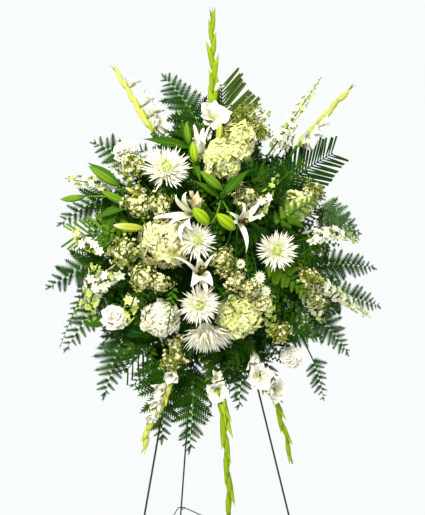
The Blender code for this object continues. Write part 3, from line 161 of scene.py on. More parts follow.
bpy.context.scene.view_settings.view_transform = "Standard"
rim = [2 * math.pi * k / FLOOR_SIDES for k in range(FLOOR_SIDES)]
floor = mesh_object("floor", [(FLOOR_RADIUS * math.cos(angle), FLOOR_RADIUS * math.sin(angle), FLOOR_HEIGHT)
                              for angle in rim], [tuple(range(FLOOR_SIDES))])
pale, _, shader = new_material("pale floor", FLOOR_COLOUR)
fill(shader, {"Base Color": (*FLOOR_COLOUR, 1), "Roughness": 0.6})
floor.data.materials.append(pale)

world = bpy.data.worlds.new("white room")
world.use_nodes = True
fill(world.node_tree.nodes["Background"], {"Color": (*SKY_COLOUR, 1), "Strength": 1.0})
bpy.context.scene.world = world
for name, (place, width, power, colour) in LAMPS.items():
    lamp = add_object(name, bpy.data.lights.new(name, "AREA"))
    lamp.data.size = width
    lamp.data.energy = power
    lamp.data.color = colour
    lamp.location = place
    lamp.rotation_euler = (LAMPS_AIM_AT - lamp.location).to_track_quat("-Z", "Y").to_euler()
print("floor and", len(LAMPS), "lamps ready")

# %% [markdown]
# ## How a leaf or a petal is coloured
# A living leaf is never one colour. It is paler along its rib, its foot differs from its tip, and no
# two leaves are quite alike. Each vertex of the plants carries three numbers: `along`, which runs from
# the foot to the tip, `side`, from one edge to the other, and `tint`, which is drawn by chance for each
# leaf. One shader group turns them into a colour and a height, and each material gives it its own
# colours. The glossy or matte shader itself stays in the material.

# %% Shader group
TIP_BLEND = 4.0
RIB_NARROWNESS = 5.0
MOTTLE_SCALE = 90
BLACK = (0, 0, 0, 1)


def node(tree, kind, inputs={}, **settings):
    """A new node with its settings and its inputs."""
    made = tree.nodes.new(kind)
    for name, value in settings.items():
        setattr(made, name, value)
    return fill(made, inputs)


def reckon(tree, operation, first, second=0.0):
    """A math node with two numbers."""
    return node(tree, "ShaderNodeMath", {0: first, 1: second}, operation=operation)


def mixed(tree, share, first, second):
    """A mix of two colours."""
    return node(tree, "ShaderNodeMix", {0: share, 6: first, 7: second}, data_type="RGBA").outputs[2]


def add_sockets(tree, way, kind, *names):
    """Add inputs or outputs of one kind to a group."""
    for name in names:
        tree.interface.new_socket(name, in_out=way, socket_type="NodeSocket" + kind)


def plant_group():
    """The shader group that colours every leaf, petal and stem."""
    tree = bpy.data.node_groups.new("plant surface", "ShaderNodeTree")
    add_sockets(tree, "INPUT", "Color", "Foot", "Body", "Other", "Tip", "Rib")
    add_sockets(tree, "INPUT", "Float", "Foot ends", "Tip starts", "Rib strength", "Veins", "Mottle")
    add_sockets(tree, "OUTPUT", "Color", "Colour")
    add_sockets(tree, "OUTPUT", "Float", "Height")
    given = node(tree, "NodeGroupInput").outputs
    along, side, tint = (node(tree, "ShaderNodeAttribute", attribute_name=name).outputs["Fac"]
                         for name in ("along", "side", "tint"))
    place = node(tree, "ShaderNodeTexCoord").outputs["Object"]
    mottle = node(tree, "ShaderNodeTexNoise", {"Scale": MOTTLE_SCALE, "Detail": 3, "Vector": place})
    foot = reckon(tree, "MINIMUM", reckon(tree, "DIVIDE", along, given["Foot ends"]), 1.0)
    colour = mixed(tree, foot, given["Foot"], mixed(tree, tint, given["Body"], given["Other"]))
    tip = reckon(tree, "MAXIMUM", reckon(tree, "SUBTRACT", along, given["Tip starts"]))
    tip = reckon(tree, "MINIMUM", reckon(tree, "MULTIPLY", tip, TIP_BLEND), 1.0)
    colour = mixed(tree, tip, colour, given["Tip"])
    edge = reckon(tree, "MULTIPLY", reckon(tree, "ABSOLUTE", side), RIB_NARROWNESS)
    rib = reckon(tree, "MAXIMUM", reckon(tree, "SUBTRACT", 1.0, edge))
    colour = mixed(tree, reckon(tree, "MULTIPLY", rib, given["Rib strength"]), colour, given["Rib"])
    grain = reckon(tree, "MULTIPLY", mottle.outputs["Fac"], given["Mottle"])
    colour = mixed(tree, grain, colour, mixed(tree, 0.5, colour, BLACK))
    wave = reckon(tree, "SINE", reckon(tree, "MULTIPLY", side, given["Veins"]))
    height = reckon(tree, "ADD", reckon(tree, "MULTIPLY", wave, 0.5),
                    reckon(tree, "MULTIPLY", mottle.outputs["Fac"], 0.6))
    node(tree, "NodeGroupOutput", {"Colour": colour, "Height": height})
    return tree


PLANT_SURFACE = plant_group()
print("plant surface of", len(PLANT_SURFACE.nodes), "nodes")

# %% [markdown]
# ## The plants' finishes
# Petals are matte and let some light through, fern is dark and dull, lily leaves and palm shine a
# little. Each row gives the colours of the foot, the body, another body that it varies to, and the
# tip, then the roughness, and what else that finish needs. Real leaves are much darker than they
# look, so the greens are small numbers. Some colours here paint shade: the darker foot of a stem,
# in part the yellow-green feet of the mum, hydrangea and gladiolus petals, and a darker copy of the
# fern leaflet for the fronds that lie deep under the flowers.

# %% Plant finishes
LEAF_GLOSS = 0.035
RIB_STRENGTH = 0.7
RELIEF_STRENGTH = 0.6
LIGHT_REACH = (0.006, 0.006, 0.004)


def plant_finish(name, foot, body, other, tip, roughness, rib=None, foot_ends=0.25, tip_starts=0.85,
                 veins=12.0, mottle=0.3, bump=0.00005, glow=0.0):
    """A material for one kind of leaf, petal or stem."""
    made, tree, shader = new_material(name, body)
    colours = {"Foot": foot, "Body": body, "Other": other, "Tip": tip, "Rib": rib or body}
    surface = node(tree, "ShaderNodeGroup", {key: (*colour, 1) for key, colour in colours.items()},
                   node_tree=PLANT_SURFACE)
    fill(surface, {"Foot ends": foot_ends, "Tip starts": tip_starts, "Veins": veins, "Mottle": mottle,
                   "Rib strength": RIB_STRENGTH if rib else 0.0})
    relief = node(tree, "ShaderNodeBump", {"Distance": bump, "Strength": RELIEF_STRENGTH,
                                           "Height": surface.outputs["Height"]})
    fill(shader, {"Base Color": surface.outputs["Colour"], "Roughness": roughness,
                  "Specular IOR Level": LEAF_GLOSS, "Subsurface Weight": glow,
                  "Subsurface Radius": LIGHT_REACH, "Normal": relief.outputs["Normal"]})
    return made


FINISH_ROWS = {
    # The yellow-green feet of the mum petals are partly their own colour and partly painted shade where the
    # petals crowd into the heart.
    "mum petal": ((0.62, 0.66, 0.24), (0.91, 0.89, 0.77), (0.89, 0.86, 0.68), (0.91, 0.89, 0.81), 0.55,
        dict(foot_ends=0.42, glow=0.5)),
    "mum heart petal": ((0.4, 0.52, 0.06), (0.62, 0.7, 0.16), (0.56, 0.66, 0.12), (0.8, 0.82, 0.4), 0.55,
        dict(foot_ends=0.6, glow=0.3)),
    # The olive feet of the hydrangea petals are partly their own colour and partly painted shade where the
    # florets crowd together.
    "hydrangea petal": ((0.34, 0.35, 0.06), (0.72, 0.69, 0.44), (0.58, 0.56, 0.24), (0.78, 0.75, 0.54),
        0.6, dict(foot_ends=0.55, tip_starts=0.8, glow=0.2)),
    "fresh hydrangea petal": ((0.34, 0.38, 0.05), (0.76, 0.75, 0.42), (0.6, 0.62, 0.22),
        (0.82, 0.8, 0.54), 0.6, dict(foot_ends=0.6, glow=0.25)),
    "lace petal": ((0.36, 0.34, 0.14), (0.85, 0.83, 0.72), (0.68, 0.66, 0.44), (0.88, 0.86, 0.78), 0.6,
        dict(foot_ends=0.5, glow=0.3)),
    "hydrangea stalks": ((0.3, 0.31, 0.06), (0.36, 0.37, 0.1), (0.3, 0.32, 0.06), (0.36, 0.37, 0.1), 0.7,
        {}),
    "white petal": ((0.38, 0.46, 0.08), (0.84, 0.83, 0.68), (0.8, 0.8, 0.54), (0.86, 0.85, 0.74), 0.5,
        dict(rib=(0.72, 0.74, 0.42), foot_ends=0.4, glow=0.2)),
    # The gladiolus throat is partly its own yellow-green and partly painted shade inside the funnel.
    "gladiolus petal": ((0.3, 0.34, 0.05), (0.76, 0.75, 0.66), (0.77, 0.74, 0.62), (0.8, 0.79, 0.74), 0.5,
        dict(rib=(0.66, 0.67, 0.46), foot_ends=0.6, glow=0.2)),
    "carnation petal": ((0.6, 0.56, 0.34), (0.88, 0.85, 0.74), (0.86, 0.82, 0.68), (0.89, 0.87, 0.79),
        0.55, dict(foot_ends=0.5, glow=0.45)),
    "lily petal": ((0.4, 0.46, 0.12), (0.84, 0.82, 0.71), (0.8, 0.77, 0.58), (0.72, 0.72, 0.46), 0.42,
        dict(rib=(0.62, 0.67, 0.36), foot_ends=0.26, glow=0.3, bump=0.0002)),
    # Used for the anthers and for the painted shadow cone in a lily's throat.
    "lily anther": ((0.045, 0.018, 0.005), (0.06, 0.022, 0.006), (0.03, 0.012, 0.004),
        (0.05, 0.02, 0.006), 0.85, {}),
    "green lily bud": ((0.03, 0.1, 0.003), (0.09, 0.19, 0.006), (0.14, 0.26, 0.014), (0.14, 0.22, 0.015),
        0.36, dict(rib=(0.015, 0.055, 0.002), foot_ends=0.4, tip_starts=0.9, bump=0.0002)),
    "lime lily bud": ((0.09, 0.19, 0.003), (0.24, 0.38, 0.008), (0.3, 0.42, 0.012), (0.14, 0.22, 0.01),
        0.36, dict(rib=(0.02, 0.07, 0.002), foot_ends=0.3, tip_starts=0.9, bump=0.0002)),
    "yellow lily bud": ((0.16, 0.24, 0.01), (0.32, 0.36, 0.035), (0.36, 0.36, 0.05), (0.56, 0.52, 0.24),
        0.4, dict(rib=(0.14, 0.18, 0.01), foot_ends=0.3, tip_starts=0.6, bump=0.0002)),
    "gladiolus sheath": ((0.09, 0.16, 0.003), (0.15, 0.245, 0.004), (0.25, 0.35, 0.014),
        (0.24, 0.29, 0.015), 0.42, dict(rib=(0.34, 0.42, 0.06), tip_starts=0.8)),
    "yellow gladiolus sheath": ((0.24, 0.3, 0.015), (0.36, 0.39, 0.055), (0.52, 0.53, 0.18),
        (0.34, 0.34, 0.03), 0.45, dict(rib=(0.6, 0.6, 0.27), tip_starts=0.85)),
    # A stem is darker at its foot: painted shade where the stems run deep among the leaves.
    "green stem": ((0.006, 0.045, 0.001), (0.012, 0.062, 0.002), (0.03, 0.095, 0.004),
        (0.03, 0.095, 0.004), 0.5, {}),
    # A darker copy of the fern leaflet: painted shade for the fronds that lie deep under the flowers.
    "deep fern leaflet": ((0.001, 0.014, 0.0005), (0.002, 0.02, 0.001), (0.007, 0.042, 0.001),
        (0.003, 0.024, 0.001), 0.6, dict(mottle=0.6)),
    "fern leaflet": ((0.002, 0.022, 0.0005), (0.004, 0.032, 0.001), (0.03, 0.084, 0.003),
        (0.016, 0.056, 0.002), 0.55, dict(foot_ends=0.2, mottle=0.5)),
    "young fern leaflet": ((0.02, 0.075, 0.001), (0.036, 0.11, 0.002), (0.11, 0.21, 0.01),
        (0.09, 0.18, 0.008), 0.5, {}),
    "blue green leaflet": ((0.02, 0.06, 0.014), (0.036, 0.085, 0.024), (0.08, 0.15, 0.05),
        (0.07, 0.14, 0.045), 0.55, {}),
    "palm leaflet": ((0.003, 0.028, 0.001), (0.004, 0.036, 0.001), (0.02, 0.07, 0.005),
        (0.008, 0.044, 0.002), 0.45, dict(rib=(0.02, 0.07, 0.005))),
    "olive palm leaflet": ((0.03, 0.06, 0.002), (0.034, 0.07, 0.003), (0.062, 0.105, 0.01),
        (0.05, 0.09, 0.008), 0.45, dict(rib=(0.07, 0.12, 0.02))),
    "broad leaf": ((0.002, 0.022, 0.0005), (0.003, 0.028, 0.0005), (0.012, 0.056, 0.002),
        (0.004, 0.03, 0.001), 0.4, dict(rib=(0.03, 0.09, 0.01), veins=26, mottle=0.5, bump=0.0003)),
    "lily leaf": ((0.014, 0.066, 0.001), (0.016, 0.068, 0.001), (0.045, 0.11, 0.003), (0.03, 0.08, 0.002),
        0.42, dict(rib=(0.07, 0.16, 0.01), veins=30, bump=0.0002)),
    "filler bud": ((0.08, 0.11, 0.004), (0.15, 0.19, 0.01), (0.26, 0.29, 0.035), (0.4, 0.41, 0.12), 0.6,
        dict(foot_ends=0.5, tip_starts=0.7)),
    "filler petal": ((0.34, 0.35, 0.05), (0.76, 0.73, 0.46), (0.6, 0.58, 0.24), (0.82, 0.79, 0.6), 0.6,
        dict(foot_ends=0.5)),
    "green bell": ((0.14, 0.25, 0.01), (0.36, 0.49, 0.06), (0.6, 0.66, 0.22), (0.62, 0.68, 0.26), 0.55,
        dict(foot_ends=0.4)),
    "daisy eye": ((0.34, 0.4, 0.06), (0.46, 0.5, 0.12), (0.5, 0.52, 0.14), (0.52, 0.54, 0.18), 0.8, {}),
    "withered petal": ((0.36, 0.33, 0.11), (0.58, 0.5, 0.27), (0.62, 0.55, 0.34), (0.6, 0.48, 0.24), 0.6,
        {}),
}
FINISH = {name: plant_finish(name, *row[:-1], **row[-1]) for name, row in FINISH_ROWS.items()}
print(len(FINISH), "plant materials")

# %% [markdown]
# ## The easel, the tray and the foam
# These CAD pieces have the right shape already, so they only get better finishes: satin paint on wire
# with a slightly uneven coat, moulded plastic, and the fine open crumb of floral foam.

# %% Hard materials


def hard_finish(name, colour, worn, roughness, metallic, scale, bump, patch=0.35, gloss=0.5):
    """A material for a made piece: a colour, a second colour in patches, and a grain."""
    made, tree, shader = new_material(name, colour)
    place = node(tree, "ShaderNodeTexCoord").outputs["Object"]
    noise = node(tree, "ShaderNodeTexNoise", {"Scale": scale, "Detail": 4, "Vector": place}).outputs["Fac"]
    relief = node(tree, "ShaderNodeBump", {"Distance": bump, "Height": noise})
    patches = mixed(tree, reckon(tree, "MULTIPLY", noise, patch), (*colour, 1), (*worn, 1))
    uneven = reckon(tree, "ADD", reckon(tree, "MULTIPLY", noise, 0.25), roughness - 0.1)
    fill(shader, {"Base Color": patches, "Roughness": uneven, "Metallic": metallic,
                  "Specular IOR Level": gloss, "Normal": relief.outputs["Normal"]})
    return made


WIRE = hard_finish("black painted wire", (0.010, 0.011, 0.012), (0.03, 0.03, 0.034), 0.42, 0, 300, 0.0002,
                   gloss=0.25)
STEEL = hard_finish("steel rivet", (0.45, 0.45, 0.46), (0.25, 0.24, 0.23), 0.35, 1, 500, 0.0001)
PLASTIC = hard_finish("moulded green plastic", (0.015, 0.075, 0.03), (0.03, 0.11, 0.05), 0.42, 0, 120,
                      0.0002)
CRUMB = hard_finish("wet floral foam", (0.02, 0.12, 0.05), (0.005, 0.04, 0.02), 0.85, 0, 900, 0.0012, 0.9)
HARD = {"easel": WIRE, "easel_hinge_pin": STEEL, "foam_tray": PLASTIC, "tie": PLASTIC, "floral_foam": CRUMB}
for name, cad_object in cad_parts.items():
    starts = [start for start in HARD if name.startswith(start)]
    if starts:
        cad_object.data.materials.clear()
        cad_object.data.materials.append(HARD[max(starts, key=len)])
print("hard finishes set")

# %% [markdown]
# ## A leaf from a list of widths
# A petal and a leaf are the same thing to a modeller: a narrow closed form that is thick in its
# middle and thin at its edge. Half widths at even steps give its outline. It may be cupped across,
# curled along, and ruffled at its edge. It grows along its own +Y with its face to +Z, so one shape
# can be set anywhere. A shape is four lists: points, faces, and how far along and to which side each
# point lies.

# %% Blades


def close_rows(rows, points, along, side):
    """A closed shape from rows of points that run round it, with an end cap or an end point."""
    faces = []
    for low, high in zip(rows, rows[1:]):
        count = max(len(low), len(high))
        for k in range(count):
            n = (k + 1) % count
            if len(low) == 1:
                faces.append((low[0], high[n], high[k]))
            elif len(high) == 1:
                faces.append((low[k], low[n], high[0]))
            else:
                faces.append((low[k], low[n], high[n], high[k]))
    faces += [tuple(end) for end in (rows[0][::-1], rows[-1]) if len(end) > 1]
    return np.array([tuple(point) for point in points], float), faces, along, side


def way_at(path, index):
    """The direction of a path at one of its points."""
    return (path[min(index + 1, len(path) - 1)] - path[max(index - 1, 0)]).normalized()


def ribbon(path, widths, face, cup=0.0, thick=0.02, across=3, ruffle=0.0, waves=2.0, notch=0.0):
    """A closed leaf or petal along a path, with its upper side to the face. Widths are half widths, and
    thick is half the thickness. Ruffle and cup are shares of the width."""
    points, along, side, rows = [], [], [], []
    shares = [2 * k / (across - 1) - 1 for k in range(across)]
    ring = [(s, 1) for s in shares] + [(s, -1) for s in reversed(shares[1:-1])]
    for index, (centre, width) in enumerate(zip(path, widths)):
        t = index / (len(path) - 1)
        way = way_at(path, index)
        right = way.cross(face).normalized()
        up = right.cross(way)
        loop = ring if width else [(0, 0)]
        rows.append(list(range(len(points), len(points) + len(loop))))
        for s, top in loop:
            wave = ruffle * abs(s) * math.sin(2 * math.pi * waves * t + (2.0 if s > 0 else 0.0))
            lift = cup * width * s * s + thick * (1 - s * s) * top + wave
            back = notch * math.cos(3 * math.pi * s) if index == len(path) - 1 else 0.0
            points.append(centre + right * (s * width) + up * lift + way * back)
            along.append(t)
            side.append(s)
    return close_rows(rows, points, along, side)


def blade(widths, curl=0.0, **form):
    """A ribbon of length one from the origin along +Y, which faces +Z and curls up by the curl."""
    steps = len(widths) - 1
    path = [Vector((0, 0, 0))]
    for index in range(steps):
        half = curl * (index + 0.5) / steps
        path.append(path[-1] + Vector((0, math.cos(half), math.sin(half))) / steps)
    return ribbon(path, widths, Vector((0, -math.sin(curl / 2), math.cos(curl / 2))), **form)


print("a test leaf has", len(blade([0.1, 0.2, 0])[1]), "faces")

# %% [markdown]
# ## Tubes, and shapes set in their places
# A stem, a bud or the core of a head is a round tube with its own radius at each point of its path. A
# shape of either kind is then turned and moved to where it grows, and several are merged into one.

# %% Tubes


def tube(path, radii, sides=6, lobes=0, lobe=0.0):
    """A round stem or bud along a path. A radius of zero closes it in a point."""
    radii = radii if isinstance(radii, list) else [radii] * len(path)
    points, along, side, rows = [], [], [], []
    across = way_at(path, 0).orthogonal()
    for index, (centre, radius) in enumerate(zip(path, radii)):
        way = way_at(path, index)
        across = (across - way * across.dot(way)).normalized()
        other = way.cross(across)
        count = sides if radius else 1
        rows.append(list(range(len(points), len(points) + count)))
        for k in range(count):
            angle = 2 * math.pi * k / sides
            reach = radius * (1 + lobe * math.cos(lobes * angle))
            points.append(centre + (across * math.cos(angle) + other * math.sin(angle)) * reach)
            along.append(index / (len(path) - 1))
            side.append(abs(math.sin(lobes * angle)) * 0.55 if lobes else 0.5)
    return close_rows(rows, points, along, side)


def frame_of(way, face):
    """The turn that takes +Y to the way and +Z as near the face as it can."""
    y = Vector(way).normalized()
    z = Vector(face) - y * Vector(face).dot(y)
    z = z.normalized() if z.length > 1e-6 else y.orthogonal().normalized()
    return Matrix((y.cross(z), y, z)).transposed()


def set_at(shape, place, way, face, size=1.0):
    """The shape moved so that it grows from the place along the way, facing the face."""
    points, *rest = shape
    return (points @ (np.array(frame_of(way, face)) * np.array(size)).T + np.array(place), *rest)


def merge(shapes):
    """One shape from several."""
    starts = np.cumsum([0] + [len(shape[0]) for shape in shapes]).tolist()
    faces = [tuple(k + start for k in face) for start, shape in zip(starts, shapes) for face in shape[1]]
    along, side = ([value for shape in shapes for value in shape[part]] for part in (2, 3))
    return np.concatenate([shape[0] for shape in shapes]), faces, along, side


def bead(heights, radii, sides):
    """A small upright bud or knob."""
    return tube([UP * height for height in heights], radii, sides)


print("a test bead has", len(bead((0, 1, 2), [0, 1, 0], 6)[1]), "faces")

# %% [markdown]
# ## Repeats with Geometry Nodes
# A chrysanthemum has hundreds of petals and a fern frond hundreds of leaflets. One small shape is
# placed on many points. Each point carries its own turn and size, and the tree adds a little chance
# to both from a fixed seed, so that it gives the same plant every time. The tree ends by making the
# copies real, because an export drops instances.

# %% The tree for repeats


def repeat_tree():
    """A tree that sets a shape on each point of another object and joins it to the piece."""
    tree = bpy.data.node_groups.new("repeat on places", "GeometryNodeTree")
    add_sockets(tree, "INPUT", "Geometry", "Geometry")
    add_sockets(tree, "INPUT", "Object", "Places", "Shape")
    add_sockets(tree, "INPUT", "Material", "Finish")
    add_sockets(tree, "INPUT", "Float", "Uneven size", "Uneven turn")
    add_sockets(tree, "INPUT", "Int", "Seed")
    add_sockets(tree, "OUTPUT", "Geometry", "Geometry")
    given = node(tree, "NodeGroupInput").outputs
    places, shape = (node(tree, "GeometryNodeObjectInfo", {"Object": given[name]}).outputs["Geometry"]
                     for name in ("Places", "Shape"))
    turn = node(tree, "GeometryNodeInputNamedAttribute", {"Name": "turn"}, data_type="QUATERNION")
    size = node(tree, "GeometryNodeInputNamedAttribute", {"Name": "size"}, data_type="FLOAT_VECTOR")
    wobble = node(tree, "FunctionNodeRandomValue", {0: (-1, -1, -1), "Seed": given["Seed"]},
                  data_type="FLOAT_VECTOR")
    swing = node(tree, "ShaderNodeVectorMath", {0: wobble, "Scale": given["Uneven turn"]},
                 operation="SCALE")
    swung = node(tree, "FunctionNodeEulerToRotation", {0: swing})
    turned = node(tree, "FunctionNodeRotateRotation", {0: turn, 1: swung}, rotation_space="LOCAL")
    chance = node(tree, "FunctionNodeRandomValue", {2: -1, "Seed": reckon(tree, "ADD", given["Seed"], 7.0)},
                  data_type="FLOAT")
    grown = reckon(tree, "MULTIPLY", chance.outputs[1], given["Uneven size"])
    scale = node(tree, "ShaderNodeVectorMath", {0: size, "Scale": reckon(tree, "ADD", grown, 1.0)},
                 operation="SCALE")
    copies = node(tree, "GeometryNodeInstanceOnPoints",
                  {"Points": places, "Instance": shape, "Rotation": turned, "Scale": scale})
    tint = node(tree, "FunctionNodeRandomValue", {"Seed": reckon(tree, "ADD", given["Seed"], 13.0)},
                data_type="FLOAT")
    tinted = node(tree, "GeometryNodeStoreNamedAttribute",
                  {"Geometry": copies, "Name": "tint", "Value": tint.outputs[1]},
                  data_type="FLOAT", domain="INSTANCE")
    real = node(tree, "GeometryNodeRealizeInstances", {0: tinted})
    dressed = node(tree, "GeometryNodeSetMaterial", {"Geometry": real, "Material": given["Finish"]})
    joined = fill(node(tree, "GeometryNodeJoinGeometry", {0: dressed}), {0: given["Geometry"]})
    node(tree, "NodeGroupOutput", {0: joined})
    return tree


REPEAT = repeat_tree()
SOCKET = {item.name: item.identifier for item in REPEAT.interface.items_tree if item.in_out == "INPUT"}
print("repeat tree of", len(REPEAT.nodes), "nodes with inputs", sorted(SOCKET))

# %% [markdown]
# ## From shapes to a finished piece
# A small shape that is repeated is kept in an object of its own, out of the picture. A piece joins
# its modelled parts with its repeats, is turned into a plain mesh, rides on the stand, and stands for
# the CAD plant of the same name where there is one.

# %% Pieces
SHARP_EDGE = math.radians(60)
SEED_STEP = 31
PROTOTYPES = []
COUNTS = []


def write_values(mesh, kind="FLOAT", **values):
    """Store lists of numbers on the mesh's vertices."""
    field = "vector" if kind == "FLOAT_VECTOR" else "value"
    for name, numbers in values.items():
        layer = mesh.attributes.new(name, kind, "POINT").data
        layer.foreach_set(field, np.array(numbers, np.float32).ravel())


def prototype(name, shape):
    """A shape to be repeated, kept out of the picture."""
    points, faces, along, side = shape
    made = mesh_object(name, points, faces)
    write_values(made.data, along=along, side=side)
    made.hide_render = True
    PROTOTYPES.append(made)
    return made


def places_object(anchors):
    """An object of bare points from rows of (place, way, face, size)."""
    made = mesh_object("places", [anchor[0] for anchor in anchors])
    turns = [tuple(frame_of(way, face).to_quaternion()) for _, way, face, _ in anchors]
    write_values(made.data, "QUATERNION", turn=turns)
    sizes = [(anchor[3],) * 3 if np.isscalar(anchor[3]) else anchor[3] for anchor in anchors]
    write_values(made.data, "FLOAT_VECTOR", size=sizes)
    return made


def grow(name, suffix, parts, repeats, seed):
    """One finished piece. parts are (shape, finish, tint), and repeats are
    (prototype, places, finish, uneven size, uneven turn)."""
    points, faces, along, side = merge([part[0] for part in parts])
    piece = mesh_object(name + suffix, points, faces)
    write_values(piece.data, along=along, side=side, tint=[part[2] for part in parts for _ in part[0][2]])
    used = list(dict.fromkeys(part[1] for part in parts))
    for finish in used:
        piece.data.materials.append(FINISH[finish])
    slots = [used.index(part[1]) for part in parts for _ in part[0][1]]
    piece.data.polygons.foreach_set("material_index", slots)
    helpers = [places_object(repeat[1]) for repeat in repeats]
    for index, (shape, _, finish, uneven_size, uneven_turn) in enumerate(repeats):
        modifier = piece.modifiers.new("repeat", "NODES")
        modifier.node_group = REPEAT
        values = {"Places": helpers[index], "Shape": shape, "Finish": FINISH[finish],
                  "Uneven size": uneven_size, "Uneven turn": uneven_turn, "Seed": seed * SEED_STEP + index}
        for socket, value in values.items():
            modifier[SOCKET[socket]] = value
    deps = bpy.context.evaluated_depsgraph_get()
    result = bpy.data.meshes.new_from_object(piece.evaluated_get(deps), preserve_all_data_layers=True,
                                             depsgraph=deps)
    piece.modifiers.clear()
    piece.data = result
    result.name = piece.name
    result.shade_smooth()
    result.set_sharp_from_angle(angle=SHARP_EDGE)
    for layer in ("turn", "size"):
        if layer in result.attributes:
            result.attributes.remove(result.attributes[layer])
    for helper in helpers:
        bpy.data.objects.remove(helper)
    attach(piece, BODY)
    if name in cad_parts:
        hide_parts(name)
    COUNTS.append(sum(len(face.vertices) - 2 for face in result.polygons))
    print(piece.name, COUNTS[-1], "triangles")


def grow_each(table, make, seed):
    """Grow every plant of a table, each with the next seed. A row is a tuple of values or one list."""
    for number, (name, row) in enumerate(table.items()):
        make(name, *(row if isinstance(row, tuple) else (row,)), seed + number)


print("tools for pieces ready")

# %% [markdown]
# ## Curves
# Stems, spikes and the ribs of fronds are gentle curves. A few places are enough to give one, because
# a cubic curve joins them smoothly.

# %% Curves
STEM_STEPS = 6


def bezier(a, b, c, d, steps=STEM_STEPS):
    """Points along a cubic curve."""
    return [a * (1 - t) ** 3 + b * (3 * t * (1 - t) ** 2) + c * (3 * t * t * (1 - t)) + d * t ** 3
            for t in (index / steps for index in range(steps + 1))]


def smooth_path(marks):
    """A smooth curve through places from a table."""
    points = [mark(place) for place in marks]
    ends = [points[0] * 2 - points[1]] + points + [points[-1] * 2 - points[-2]]
    curve = [points[0]]
    for before, start, stop, after in zip(ends, ends[1:], ends[2:], ends[3:]):
        curve += bezier(start, start + (stop - before) / 6, stop - (after - start) / 6, stop)[1:]
    return curve


def path_length(path):
    """The length of a path."""
    return sum((b - a).length for a, b in zip(path, path[1:]))


def on_path(path, share):
    """The place at this share of a path, and its direction there."""
    place = min(max(share, 0.0), 0.9999) * (len(path) - 1)
    low = int(place)
    return path[low].lerp(path[low + 1], place - low), (path[low + 1] - path[low]).normalized()


def taper(first, loss, count):
    """Radii that shrink evenly along a stem."""
    return [first - loss * k / (count - 1) for k in range(count)]


print("a test curve has", len(smooth_path([(0, 0, 0), (0, 100, 0), (50, 200, 0)])), "points")

# %% [markdown]
# ## Stems from the foam
# A florist pushes each stem into the foam and lets it arch out to its flower. Each plain CAD plant
# already stands in its own hole, so the finer plant starts where the vertices of the plain one lie
# inside the foam, and bends from there to its head.

# %% Stems
FOAM_HALF_WIDTH = 0.100
FOAM_LOW, FOAM_TOP = -0.326, -0.026
FOAM_BACK, FOAM_FRONT = 0.0096, 0.0996
HOLE_DEPTH = 0.024
SKIN = 0.002
MOUTH_OUTSIDE = 0.004
FOAM_MIDDLE = spot(0, -0.17, 0.06)


def foam_hole(name):
    """The deep end of a CAD plant's stem in the foam, and the way out of the foam from it."""
    deep = []
    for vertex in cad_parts[name].data.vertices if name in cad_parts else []:
        offset = vertex.co - PIN
        right, up, out = offset.x, offset.dot(FOAM_UP), offset.dot(FOAM_OUT)
        if (abs(right) < FOAM_HALF_WIDTH - SKIN and FOAM_LOW + SKIN < up < FOAM_TOP - SKIN
                and FOAM_BACK < out < FOAM_FRONT - SKIN):
            deep.append((vertex.co.copy(), right, up, out))
    if not deep:
        return FOAM_MIDDLE, FOAM_OUT
    place, right, up, out = (sum((row[k] for row in deep), start) / len(deep)
                             for k, start in enumerate((Vector(), 0, 0, 0)))
    exits = [(FOAM_FRONT - out, FOAM_OUT), (FOAM_HALF_WIDTH - right, RIGHT),
             (FOAM_HALF_WIDTH + right, -RIGHT), (FOAM_TOP - up, FOAM_UP), (up - FOAM_LOW, -FOAM_UP)]
    return place, min(exits, key=lambda pair: abs(pair[0] - HOLE_DEPTH))[1]


def stalk_path(name, end, arrive):
    """The path of a stem from its hole to its head. A plant without a hole starts inside the foam."""
    deep, out = foam_hole(name)
    mouth = deep + out * (HOLE_DEPTH + MOUTH_OUTSIDE)
    reach = (end - mouth).length
    return [deep] + bezier(mouth, mouth + out * (reach * 0.25), end - arrive * (reach * 0.3), end, 8)


def stem(path, radius, sides=6, tint=0.5):
    """A stem along a path, as one part of a piece."""
    return tube(path, radius, sides), "green stem", tint


def stalk(name, end, arrive, radius):
    """A stem from the foam to a head."""
    return stem(stalk_path(name, end, arrive), radius)


def forked_stem(name, paths, radius, sides, tint, fork=-3, forward=0.0, bow=0.3):
    """Parts for a stem from the foam to the first path, with a side stem to each of the others."""
    ways = [((path[1] - path[0]).normalized() + FOAM_OUT * forward).normalized() for path in paths]
    trunk = stalk_path(name, paths[0][0], ways[0])
    parts = [stem(trunk, radius, sides, tint)]
    for path, way in zip(paths[1:], ways[1:]):
        reach = (path[0] - trunk[fork]).length
        curve = bezier(trunk[fork], trunk[fork] + way * reach * bow, path[0] - way * reach * 0.3, path[0])
        parts.append(stem(curve, radius - 0.0002, sides, tint))
    return parts


print("foam hole of mum_middle at", [round(v, 3) for v in foam_hole("mum_middle")[0]])

# %% [markdown]
# ## Directions round an axis
# A flower head packs its petals as a sunflower packs its seeds. Each one is turned by the golden angle
# from the last, which spreads any number of them evenly. A random push then makes them look grown.

# %% Directions


def around(axis, angle):
    """A unit vector square to the axis, turned round it."""
    across = axis.orthogonal().normalized()
    return across * math.cos(angle) + axis.cross(across) * math.sin(angle)


def spiral(axis, count, first, last, start):
    """Directions in a seed-head spiral, inner ones first, each with its sideways direction and share."""
    found = []
    for index in range(count):
        share = (index + 0.5) / count
        tilt = first + (last - first) * share ** 0.62
        out = around(axis, start + index * math.pi * (3 - math.sqrt(5)))
        found.append((axis * math.cos(tilt) + out * math.sin(tilt), out, share))
    return found


def leaf_to(foot, tip, face, longer=1.0):
    """The place of a leaf that reaches from its foot to a tip."""
    return foot, tip - foot, face, (tip - foot).length * longer


